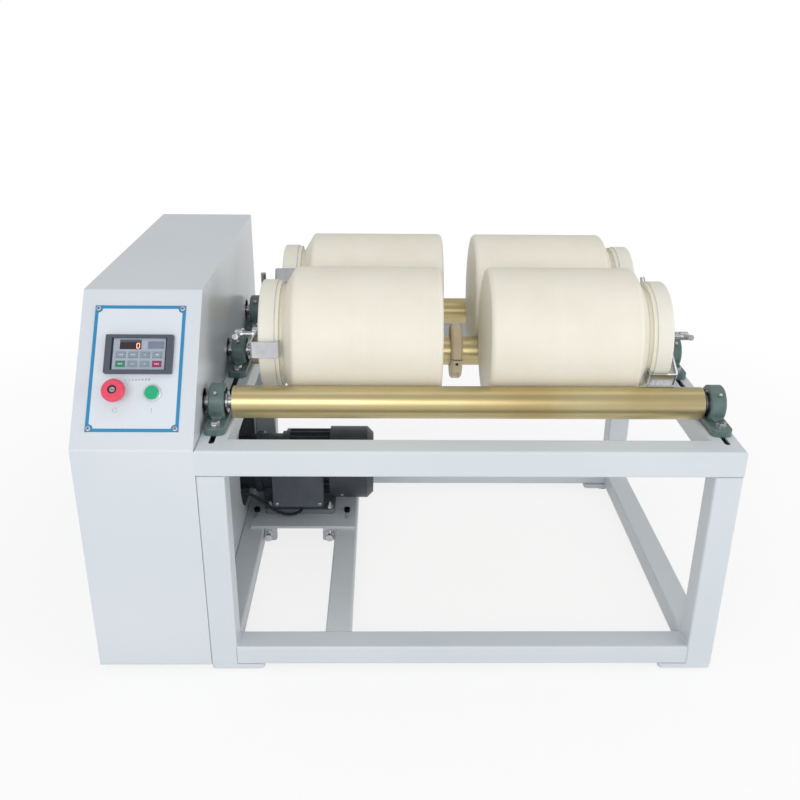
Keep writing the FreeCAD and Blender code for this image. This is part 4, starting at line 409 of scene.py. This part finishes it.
def add_disc(shape, x, y, radius, low, high, sides=32, squash=1.0, turn=0.0):
    """A low round or many-sided post on the panel."""
    made = bmesh.ops.create_cone(
        shape, cap_ends=True, segments=sides, radius1=radius, radius2=radius, depth=high - low)["verts"]
    bmesh.ops.rotate(shape, cent=(0, 0, 0), matrix=Matrix.Rotation(turn, 3, "Z"), verts=made)
    bmesh.ops.scale(shape, vec=(1, squash, 1), verts=made)
    bmesh.ops.translate(shape, vec=(x, y, (low + high) / 2), verts=made)
    return made


def add_rod(shape, start, end, radius, end_radius=None, sides=24):
    """A straight round or many-sided rod between two points, tapered if asked."""
    start = Vector(start)
    run = Vector(end) - start
    placed = Matrix.Translation(start + run / 2) @ run.to_track_quat("Z", "Y").to_matrix().to_4x4()
    bmesh.ops.create_cone(
        shape, cap_ends=True, segments=sides, radius1=radius,
        radius2=radius if end_radius is None else end_radius, depth=run.length, matrix=placed)


def add_ring(shape, start, stop, inner, outer, y, z, sides=48):
    """A flat ring about a line along X, spun from its section."""
    corners = [(start, inner), (stop, inner), (stop, outer), (start, outer)]
    section = [shape.verts.new((along, y, z + radius)) for along, radius in corners]
    edges = [shape.edges.new((section[step], section[(step + 1) % 4])) for step in range(4)]
    bmesh.ops.spin(shape, geom=section + edges, cent=(0, y, z), axis=(1, 0, 0), angle=2 * math.pi,
                   steps=sides, use_merge=True)
    bmesh.ops.recalc_face_normals(shape, faces=shape.faces)


def panel_piece(name, shape, finish, body):
    """Set a shape that was built on the flat panel in its place on the slope."""
    bmesh.ops.transform(shape, matrix=PANEL, verts=shape.verts)
    return finish_piece(name, shape, finish, body)


def panel_border():
    """The blue line round the faceplate, which swells inwards round the corner screws."""
    width = 0.0062
    inset = 0.0004
    swell = 0.0075
    shape = bmesh.new()
    edge = PLATE_WIDTH / 2 - inset
    top = PLATE_HEIGHT - inset
    for side in (-1, 1):
        add_plate(shape, side * (edge - width / 2), PLATE_HEIGHT / 2, width, top - inset, 0, SKIN)
    for middle in (inset + width / 2, top - width / 2):
        add_plate(shape, 0, middle, 2 * edge, width, 0, 1.1 * SKIN)
    for side in (-1, 1):
        for end in (PLATE_SCREW_INSET, PLATE_HEIGHT - PLATE_SCREW_INSET):
            corner = add_disc(shape, side * (PLATE_WIDTH / 2 - PLATE_SCREW_INSET), end, swell, 0, 1.2 * SKIN, 40)
            for vertex in corner:
                vertex.co.x = max(-edge, min(edge, vertex.co.x))
                vertex.co.y = max(inset, min(top, vertex.co.y))
    panel_piece("panel_border", shape, BORDER_BLUE, "machine")


def panel_marks():
    """Plain printed signs: a rising speed scale, a ring for stop and a bar for start."""
    shape = bmesh.new()
    upright = Matrix.Rotation(-math.pi / 2, 4, "Y")
    add_ring(shape, 0, SKIN, 0.0034, 0.0042, 0, 0, 40)
    place = Matrix.Translation((STOP_SHIFT, SIGN_RISE, 0))
    bmesh.ops.transform(shape, matrix=place @ upright, verts=shape.verts)
    add_plate(shape, START_SHIFT, SIGN_RISE, 0.0011, 0.0078, 0, SKIN)
    for step in range(8):
        height = 0.0012 + 0.0004 * step
        x = KEYPAD_SHIFT + 0.0058 * (step - 3.5)
        add_plate(shape, x, SCALE_RISE + height / 2, 0.0032, height, 0, SKIN)
    panel_piece("panel_marks", shape, MARK_GREY, "machine")


def on_keypad(x, y):
    return KEYPAD_SHIFT + x, KEYPAD_RISE + y


def keypad_film():
    """The printed film in the keypad's sunk field, cut out round the keys and the window, and dark strips along the
    rim's sides and bottom, painted shade for the rim's shaded inner walls.
    """
    shape = bmesh.new()
    width = 0.0912
    half = width / 2
    floor = KEYPAD_FLOOR
    x, y = on_keypad(0, 0)
    columns = [KEY_SHIFT + (column - 1.5) * KEY_PITCH for column in range(4)]
    bands = [(0.0281, 0.0022), (0.0068, 0.0042), (-0.0096, 0.0049), (-0.0259, 0.0045)]
    for middle, band in bands:
        add_plate(shape, x, y + middle, width, band, floor, floor + SKIN)
    for row in range(2):
        up = (0.5 - row) * KEY_ROW_PITCH - KEY_DROP
        edges = [-half, *[c + side * 0.0083 for c in columns for side in (-1, 1)], half]
        for left, right in zip(edges[::2], edges[1::2]):
            add_plate(shape, x + (left + right) / 2, y + up, right - left, 0.0121, floor, floor + SKIN)
    for left, right in ((-half, -0.0345), (0.0033, half)):
        add_plate(shape, x + (left + right) / 2, y + 0.0180, right - left, 0.0182, floor, floor + SKIN)
    panel_piece("keypad_film", shape, KEYPAD_FIELD, "machine")

    # Painted shade: flat dark navy strips on the sunk floor at the rim's left, right and lower walls, where the rim's
    # inner walls lie in shadow.
    rim_shade = bmesh.new()
    side_width = KEYPAD_HALF_WIDTH - half
    for side in (-1, 1):
        add_plate(rim_shade, x + side * (half + side_width / 2), y, side_width, 2 * KEYPAD_HALF_HEIGHT,
                  floor, floor + 1.5 * SKIN)
    low_width = KEYPAD_HALF_HEIGHT - 0.0281
    add_plate(rim_shade, x, y - KEYPAD_HALF_HEIGHT + low_width / 2, width, low_width, floor, floor + 1.5 * SKIN)
    panel_piece("keypad_rim_painted_shade", rim_shade, KEYPAD_PAINTED_SHADE, "machine")


def display_digits():
    """Four seven-segment digits behind the window, the last one lit as a zero."""
    lit_shape = bmesh.new()
    dark_shape = bmesh.new()
    digit_width = 0.0048
    digit_height = 0.0090
    thick = 0.0012
    for place in range(4):
        x, y = on_keypad(-0.0156 + (place - 1.5) * 0.0088, 0.0156)
        bars = [(0, side * digit_height / 2, True) for side in (-1, 1)]
        bars += [(across * digit_width / 2, side * digit_height / 4, False)
                 for across in (-1, 1) for side in (-1, 1)]
        for shift, rise, flat in bars:
            shape = lit_shape if place == 3 else dark_shape
            length = digit_width if flat else digit_height / 2
            size = (0.86 * length, thick) if flat else (thick, 0.86 * length)
            add_plate(shape, x + shift, y + rise, *size, KEYPAD_FLOOR, KEYPAD_FLOOR + SKIN)
        add_plate(dark_shape, x, y, 0.86 * digit_width, thick, KEYPAD_FLOOR, KEYPAD_FLOOR + SKIN)
    panel_piece("lit_digit", lit_shape, LIT, "machine")
    panel_piece("unlit_digits", dark_shape, UNLIT, "machine")


def status_lamps():
    """A column of small lamps beside the window and the bare badge beside them."""
    dots = bmesh.new()
    for step in range(4):
        x, y = on_keypad(0.0095, 0.0210 - step * 0.0036)
        add_disc(dots, x, y, 0.0009, KEYPAD_FLOOR, KEYPAD_FLOOR + 2 * SKIN, 16)
    panel_piece("status_lamps", dots, LAMP_DOT, "machine")
    badge = bmesh.new()
    x, y = on_keypad(0.0290, 0.0168)
    add_plate(badge, x, y, 0.0280, 0.0140, KEYPAD_FLOOR, KEYPAD_FLOOR + 4 * SKIN, 0.0012)
    panel_piece("blank_badge", badge, BADGE, "machine")


def key_marks():
    """A small plain mark on each key: bars, triangles and a square."""
    marks = {
        "key_program": "bars", "key_function": "bars", "key_up": "up", "key_enter": "square",
        "key_run": "bars", "key_jog": "dots", "key_down": "down", "key_stop": "bars",
    }
    for number, (key, mark) in enumerate(marks.items()):
        row, column = divmod(number, 4)
        x, y = on_keypad(KEY_SHIFT + (column - 1.5) * KEY_PITCH, (0.5 - row) * KEY_ROW_PITCH - KEY_DROP)
        low = KEYPAD_FLOOR + KEY_PROUD
        high = low + SKIN
        shape = bmesh.new()
        if mark == "bars":
            for step in (-1, 0, 1):
                add_plate(shape, x + 0.0028 * step, y, 0.0020, 0.0024, low, high)
        elif mark == "dots":
            for step in (-1, 1):
                add_disc(shape, x + 0.0018 * step, y, 0.0011, low, high, 12)
        elif mark == "square":
            add_plate(shape, x, y, 0.0056, 0.0022, low, high)
        else:
            add_disc(shape, x, y, 0.0021, low, high, 3, 0.8, math.pi / 2 if mark == "up" else -math.pi / 2)
        panel_piece(f"mark_{key}", shape, KEY_MARK, key)


def stop_lock():
    """The dark floor of the stop head's recess and the steel lock, with a dark bar on the lock painted as the shade
    in its slot.
    """
    floor = 0.0248
    recess = bmesh.new()
    add_ring(recess, floor, floor + SKIN, 0.0050, 0.0079, 0, 0, 40)
    upright = Matrix.Rotation(-math.pi / 2, 4, "Y")
    bmesh.ops.transform(recess, matrix=Matrix.Translation((STOP_SHIFT, BUTTON_RISE, 0)) @ upright, verts=recess.verts)
    panel_piece("stop_recess", recess, STEM_BLACK, "stop_head")
    lock = bmesh.new()
    add_disc(lock, STOP_SHIFT, BUTTON_RISE, 0.0046, floor, floor + 0.0006, 32)
    panel_piece("stop_lock", lock, ZINC, "stop_plunger")
    # Painted shade: a flat dark bar on the lock where its slot lies in shadow.
    slot_shade = bmesh.new()
    add_plate(slot_shade, STOP_SHIFT, BUTTON_RISE, 0.0052, 0.0013, floor, floor + 0.0006 + SKIN)
    panel_piece("stop_lock_slot_shade", slot_shade, STEM_BLACK, "stop_plunger")


COVER_SCREWS = (
    (0.014, 0.026), (0.415, 0.026), (0.816, 0.026), (0.816, 0.357),
    (0.816, 0.688), (0.213, 0.688), (0.014, 0.456), (0.014, 0.248),
)
COVER_X = -0.212
TERMINAL_X = (0.0795, 0.1785)
TERMINAL_Z = (0.109, 0.207)
TERMINAL_FRONT = 0.448
MOTOR_Y = 0.565
MOTOR_Z = 0.160
FAN_COVER_RADIUS = 0.086
FAN_COVER_SCREW_X = 0.228
FAN_COVER_ANGLES = (40, 130, 220, 310)


def add_cross_shade(shape, place, out, radius):
    """A flat dark cross on a screw head, painted shade standing in for its cross recess: two thin bars across each
    other.
    """
    seat = Matrix.Translation(place) @ out.to_track_quat("Z", "Y").to_matrix().to_4x4()
    for turn in (0, math.pi / 2):
        made = bmesh.ops.create_cube(shape, size=1.0)["verts"]
        size = Matrix.Diagonal((1.2 * radius, 0.28 * radius, 2 * SKIN, 1))
        bmesh.ops.transform(shape, matrix=seat @ Matrix.Rotation(turn + 0.4, 4, "Z") @ size, verts=made)


def small_screws():
    """Pan-head screws of the terminal lid and the fan cover, and dark crosses painted as the shade in the cross
    recesses of all pan heads.
    """
    radius = 0.0038
    height = 0.0022
    heads = bmesh.new()
    # Painted shade: dark crosses laid on the screw heads where their cross recesses would lie in shadow.
    recess_shades = bmesh.new()
    places = [(spot(x, TERMINAL_FRONT, z), Vector((0, -1, 0))) for x in TERMINAL_X for z in TERMINAL_Z]
    for angle in FAN_COVER_ANGLES:
        out = Vector((0, math.cos(math.radians(angle)), math.sin(math.radians(angle))))
        places.append((spot(FAN_COVER_SCREW_X, MOTOR_Y, MOTOR_Z) + FAN_COVER_RADIUS * out, out))
    for place, out in places:
        add_rod(heads, place - 0.001 * out, place + 0.5 * height * out, radius)
        add_rod(heads, place + 0.5 * height * out, place + height * out, radius, 0.7 * radius)
        add_cross_shade(recess_shades, place + height * out, out, radius)
    for y, z in COVER_SCREWS:
        add_cross_shade(recess_shades, spot(COVER_X - SCREW_HEAD, y, z), Vector((-1, 0, 0)), 0.0036)
    slope_out = PANEL.to_3x3() @ Vector((0, 0, 1))
    for side in (-1, 1):
        for up in (PLATE_SCREW_INSET, PLATE_HEIGHT - PLATE_SCREW_INSET):
            place = PANEL @ Vector((side * (PLATE_WIDTH / 2 - PLATE_SCREW_INSET), up, SCREW_HEAD))
            add_cross_shade(recess_shades, place, slope_out, 0.0036)
    finish_piece("small_screws", heads, ZINC, "machine")
    finish_piece("screw_recess_painted_shade", recess_shades, STEM_BLACK, "machine")


def bearing_faces():
    """The steel outer race and the black seal on both faces of each bearing."""
    races = bmesh.new()
    seals = bmesh.new()
    face = 0.011
    for x in BLOCK_X:
        for y in ROLLER_Y:
            for side in (-1, 1):
                middle = spot(x, y, AXLE_Z)
                for shape, inner, outer, proud in ((races, 0.0225, 0.0259, 0.0005), (seals, 0.0184, 0.0224, 0.0003)):
                    ends = sorted((middle.x + side * (face - 0.0001), middle.x + side * (face + proud)))
                    add_ring(shape, *ends, inner, outer, middle.y, middle.z, 40)
    finish_piece("bearing_races", races, SHAFT_STEEL, "machine")
    finish_piece("bearing_seals", seals, SEAL_BLACK, "machine")


def collar_screws():
    """Two black socket screws in each lock collar, which turn with their shaft."""
    radius = 0.020
    for row, name in enumerate(("front", "middle", "rear")):
        shape = bmesh.new()
        for x in (BLOCK_X[0] + 0.015, BLOCK_X[1] - 0.015):
            for angle in (100, 220):
                out = Vector((0, math.cos(math.radians(angle)), math.sin(math.radians(angle))))
                middle = spot(x, ROLLER_Y[row], AXLE_Z)
                add_rod(shape, middle + (radius - 0.001) * out, middle + (radius + 0.0004) * out, 0.0021, sides=16)
        finish_piece(f"collar_screws_{name}", shape, STEM_BLACK, f"{name}_roller")


JAR_PLACES = {
    "front_left": (0.435, -1, 0),
    "rear_left": (0.451, -1, 1),
    "front_right": (0.522, 1, 0),
    "rear_right": (0.518, 1, 1),
}
JAR_RISE = math.sqrt(0.1603 ** 2 - 0.137 ** 2)
THREAD_PITCH = 0.0015


def jar_middle(bottom, way, row, along):
    """A point of a jar's axis, so far from its base."""
    return spot(bottom + way * along, (ROLLER_Y[row] + ROLLER_Y[row + 1]) / 2, AXLE_Z + JAR_RISE)


def gasket_rings():
    """The edge of the silicone ring that shows between each jar's flange and its lid."""
    for name, (bottom, way, row) in JAR_PLACES.items():
        shape = bmesh.new()
        low = jar_middle(bottom, way, row, 0.3076)
        high = jar_middle(bottom, way, row, 0.3089)
        add_ring(shape, *sorted((low.x, high.x)), 0.0995, 0.1028, low.y, low.z, 96)
        finish_piece(f"gasket_edge_{name}", shape, GASKET, f"lid_{name}")


def clamp_threads():
    """The rolled thread of each clamp screw, one ridge swept round and along the shank."""
    turns = 25
    steps = 14
    for name, (bottom, way, row) in JAR_PLACES.items():
        shape = bmesh.new()
        ends = [jar_middle(bottom, way, row, along) for along in (0.3425, 0.3805)]
        start = min(ends, key=lambda point: point.x)
        ridge = [(-0.0006, 0.0049), (0.0, 0.0054), (0.0006, 0.0049)]
        corners = [shape.verts.new((start.x + 0.0006 + along, start.y, start.z + radius)) for along, radius in ridge]
        section = shape.faces.new(corners)
        bmesh.ops.spin(shape, geom=[section], cent=start, axis=(1, 0, 0), dvec=(THREAD_PITCH / steps, 0, 0),
                       angle=2 * math.pi * turns, steps=turns * steps)
        bmesh.ops.recalc_face_normals(shape, faces=shape.faces)
        finish_piece(f"clamp_thread_{name}", shape, STAINLESS, f"screw_{name}")


def stop_ring_socket():
    """The dark socket of the clamp screw in the stop ring's rim."""
    angle = math.radians(189)
    out = Vector((0, math.cos(angle), math.sin(angle)))
    middle = spot(0.4775, ROLLER_Y[1], AXLE_Z)
    shape = bmesh.new()
    add_rod(shape, middle + 0.0572 * out, middle + 0.0582 * out, 0.0034, sides=24)
    finish_piece("stop_ring_socket", shape, STEM_BLACK, "stop_ring")


def gland_parts():
    """The hexagon nut of the lead's gland and the tapered rubber sleeve below it."""
    x, y, z = 0.135, 0.4695, 0.101
    nut = bmesh.new()
    add_rod(nut, spot(x, y, z), spot(x, y, z - 0.005), 0.0092, sides=6)
    finish_piece("gland_nut", nut, SEAL_BLACK, "machine")
    sleeve = bmesh.new()
    add_rod(sleeve, spot(x, y, z - 0.007), spot(x, y, z - 0.016), 0.0068, 0.0042)
    finish_piece("lead_sleeve", sleeve, LEAD_JACKET, "machine")


POST_FACES_X = (0.050, 0.910)
POST_FACES_Y = (0.050, 0.720)
LOW_RAIL = (0.015, 0.055)
DECK_UNDERSIDE = 0.420


def weld_beads():
    """Painted fillet beads in the inner corners of the frame."""
    shape = bmesh.new()
    radius = 0.0024
    span = (0.006, 0.044)
    for z in (LOW_RAIL[1], DECK_UNDERSIDE):
        for x in POST_FACES_X:
            for y in (0.0, 0.720):
                add_rod(shape, spot(x, y + span[0], z), spot(x, y + span[1], z), radius, sides=10)
        for y in POST_FACES_Y:
            for x in (0.0, 0.910):
                add_rod(shape, spot(x + span[0], y, z), spot(x + span[1], y, z), radius, sides=10)
    for y in POST_FACES_Y:
        for x in (0.215, 0.265):
            add_rod(shape, spot(x, y, LOW_RAIL[0] + 0.003), spot(x, y, LOW_RAIL[1] - 0.003), radius, sides=10)
    finish_piece("weld_beads", shape, FRAME_COAT, "machine")


CHAIN_PITCH = 0.0127
SPROCKET_TEETH = 17
PITCH_RADIUS = CHAIN_PITCH / 2 / math.sin(math.pi / SPROCKET_TEETH)
CHAIN_RUNS = (
    (-0.032, (ROLLER_Y[0], AXLE_Z), (ROLLER_Y[1], AXLE_Z)),
    (-0.060, (MOTOR_Y, MOTOR_Z), (ROLLER_Y[1], AXLE_Z)),
    (-0.088, (ROLLER_Y[1], AXLE_Z), (ROLLER_Y[2], AXLE_Z)),
)


def wrapped_pins(centre, away):
    """The chain pins that lie in a sprocket's tooth gaps on the side away from the other sprocket."""
    pins = []
    for tooth in range(SPROCKET_TEETH):
        angle = math.pi / 2 + tooth * 2 * math.pi / SPROCKET_TEETH
        out = Vector((math.cos(angle), math.sin(angle)))
        if out.dot(away) > -0.02:
            pins.append((away.angle_signed(out), centre + PITCH_RADIUS * out))
    return [pin for angle, pin in sorted(pins, key=lambda row: -row[0])]


def chain_pins(first, second):
    """All pins of one chain in order, as (y, z) points round both sprockets."""
    first = Vector(first)
    second = Vector(second)
    run = (second - first).normalized()
    pins = wrapped_pins(first, -run)
    far = wrapped_pins(second, run)
    for start, end, group in ((pins[-1], far[0], far), (far[-1], pins[0], [])):
        count = round((end - start).length / CHAIN_PITCH)
        if not group and (len(pins) + count - 1) % 2:
            count += 1
        pins += [start.lerp(end, step / count) for step in range(1, count)] + group
    return pins


def add_link(shape, x, start, end, wide):
    """Two link plates between two pins, with a roller and a pin at the first."""
    middle = Vector((x, (start.x + end.x) / 2 - MIDDLE_Y, (start.y + end.y) / 2))
    run = end - start
    turned = Matrix.Translation(middle) @ Matrix.Rotation(math.atan2(run.y, run.x), 4, "X")
    plate_x = 0.0066 if wide else 0.0048
    for side in (-1, 1):
        ring = bmesh.ops.create_circle(shape, cap_ends=True, segments=12, radius=0.0052)["verts"]
        for vertex in ring:
            vertex.co.x += math.copysign(run.length / 2, vertex.co.x)
        face = ring[0].link_faces[0]
        thick = bmesh.ops.extrude_face_region(shape, geom=[face])["geom"]
        lifted = [item for item in thick if isinstance(item, bmesh.types.BMVert)]
        bmesh.ops.translate(shape, vec=(0, 0, 0.0015), verts=lifted)
        flat = Matrix.Translation((side * plate_x - 0.00075, 0, 0)) @ Matrix(
            ((0, 0, 1, 0), (1, 0, 0, 0), (0, 1, 0, 0), (0, 0, 0, 1)))
        bmesh.ops.transform(shape, matrix=turned @ flat, verts=ring + lifted)
    pin = Vector((x, start.x - MIDDLE_Y, start.y))
    across = Vector((1, 0, 0))
    add_rod(shape, pin - 0.0038 * across, pin + 0.0038 * across, 0.0042, sides=10)
    add_rod(shape, pin - 0.0079 * across, pin + 0.0079 * across, 0.0022, sides=8)


def roller_chains():
    """The three roller chains, link by link, in place of their plain loops."""
    for number, (plane, first, second) in enumerate(CHAIN_RUNS):
        shape = bmesh.new()
        pins = chain_pins(first, second)
        for step, pin in enumerate(pins):
            add_link(shape, plane - MIDDLE_X, pin, pins[(step + 1) % len(pins)], step % 2 == 0)
        bmesh.ops.recalc_face_normals(shape, faces=shape.faces)
        piece = finish_piece(f"roller_chain_{number + 1}", shape, CHAIN_STEEL, "machine")
        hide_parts("chains")


panel_border()
panel_marks()
keypad_film()
display_digits()
status_lamps()
key_marks()
stop_lock()
small_screws()
bearing_faces()
collar_screws()
gasket_rings()
clamp_threads()
stop_ring_socket()
gland_parts()
weld_beads()
roller_chains()


# Studio

def stage_floor():
    """A wide pale floor that keeps the machine's shadow."""
    shape = bmesh.new()
    bmesh.ops.create_grid(shape, x_segments=1, y_segments=1, size=40.0)
    mesh = bpy.data.meshes.new("studio_floor")
    shape.to_mesh(mesh)
    shape.free()
    paper = Finish("studio_paper", (0.9, 0.9, 0.9, 1.0), 0.9, Specular_IOR_Level=0.0)
    light = paper.node("ShaderNodeLightPath")
    mirrored = paper.reckon("MULTIPLY", light.outputs["Is Glossy Ray"], 0.7)
    seen = paper.reckon("MAXIMUM", light.outputs["Is Camera Ray"], mirrored)
    glow = paper.node("ShaderNodeEmission", {"Color": (1, 1, 1, 1), "Strength": 1.0})
    reach = paper.node("ShaderNodeVectorMath", {0: paper.where}, operation="LENGTH").outputs["Value"]
    mixed = paper.node("ShaderNodeMixShader", {
        0: paper.reckon("MULTIPLY", seen, paper.spread(reach, 0.8, 1.0, 0.8, 2.0)),
        1: paper.shader.outputs["BSDF"],
        2: glow.outputs["Emission"],
    })
    surface = paper.nodes["Material Output"].inputs["Surface"]
    paper.links.new(mixed.outputs["Shader"], surface)
    mesh.materials.append(paper.material)
    floor = bpy.data.objects.new("studio_floor", mesh)
    bpy.context.scene.collection.objects.link(floor)


def studio_world():
    """An even pale room: white where the camera sees it directly or through glass, softer in what it lights and in
    reflections.
    """
    world = bpy.data.worlds.new("studio")
    world.use_nodes = True
    tree = world.node_tree
    sky = tree.nodes["Background"]
    sky.inputs["Color"].default_value = (1.0, 1.0, 1.0, 1.0)
    light = tree.nodes.new("ShaderNodeLightPath")
    seen = tree.nodes.new("ShaderNodeMath")
    seen.operation = "MAXIMUM"
    tree.links.new(light.outputs["Is Camera Ray"], seen.inputs[0])
    tree.links.new(light.outputs["Is Transmission Ray"], seen.inputs[1])
    strength = tree.nodes.new("ShaderNodeMapRange")
    strength.inputs["To Min"].default_value = 0.62
    strength.inputs["To Max"].default_value = 1.0
    tree.links.new(seen.outputs[0], strength.inputs["Value"])
    tree.links.new(strength.outputs["Result"], sky.inputs["Strength"])
    bpy.context.scene.world = world


def soft_light(name, place, aim, width, height, power):
    """A rectangular soft light at a place, turned to a point."""
    lamp = bpy.data.lights.new(name, "AREA")
    lamp.shape = "RECTANGLE"
    lamp.size = width
    lamp.size_y = height
    lamp.energy = power
    holder = bpy.data.objects.new(name, lamp)
    holder.location = place
    holder.rotation_euler = (Vector(aim) - Vector(place)).to_track_quat("-Z", "Y").to_euler()
    bpy.context.scene.collection.objects.link(holder)


def photo_camera():
    """The camera where the photograph was taken from."""
    pitch = math.radians(23.42)
    yaw = math.radians(1.10)
    roll = math.radians(0.65)
    ahead = Vector((math.sin(yaw) * math.cos(pitch), math.cos(yaw) * math.cos(pitch), -math.sin(pitch)))
    right = Vector((math.cos(yaw), -math.sin(yaw), 0))
    up = right.cross(ahead)
    side = math.cos(roll) * right + math.sin(roll) * up
    top = math.cos(roll) * up - math.sin(roll) * right
    lens = bpy.data.cameras.new("photo_camera")
    lens.sensor_width = 36.0
    lens.sensor_fit = "HORIZONTAL"
    lens.lens = 36.0 * 911.16 / 800
    lens.clip_end = 200.0
    camera = bpy.data.objects.new("photo_camera", lens)
    turn = Matrix((side, top, -ahead)).transposed().to_4x4()
    camera.matrix_world = Matrix.Translation((-0.04551, -1.81823, 1.17516)) @ turn
    bpy.context.scene.collection.objects.link(camera)
    bpy.context.scene.camera = camera


stage_floor()
studio_world()
soft_light("front_softbox", (-0.7, -3.1, 1.7), (0, -0.3, 0.4), 2.6, 1.4, 36.0)
soft_light("overhead_strip", (0.1, -0.3, 2.7), (0, 0, 0.5), 3.0, 0.4, 4.0)
soft_light("right_fill", (2.8, -1.4, 1.0), (0, 0, 0.3), 1.6, 1.4, 22.0)
photo_camera()

bpy.context.scene.view_settings.view_transform = "Standard"
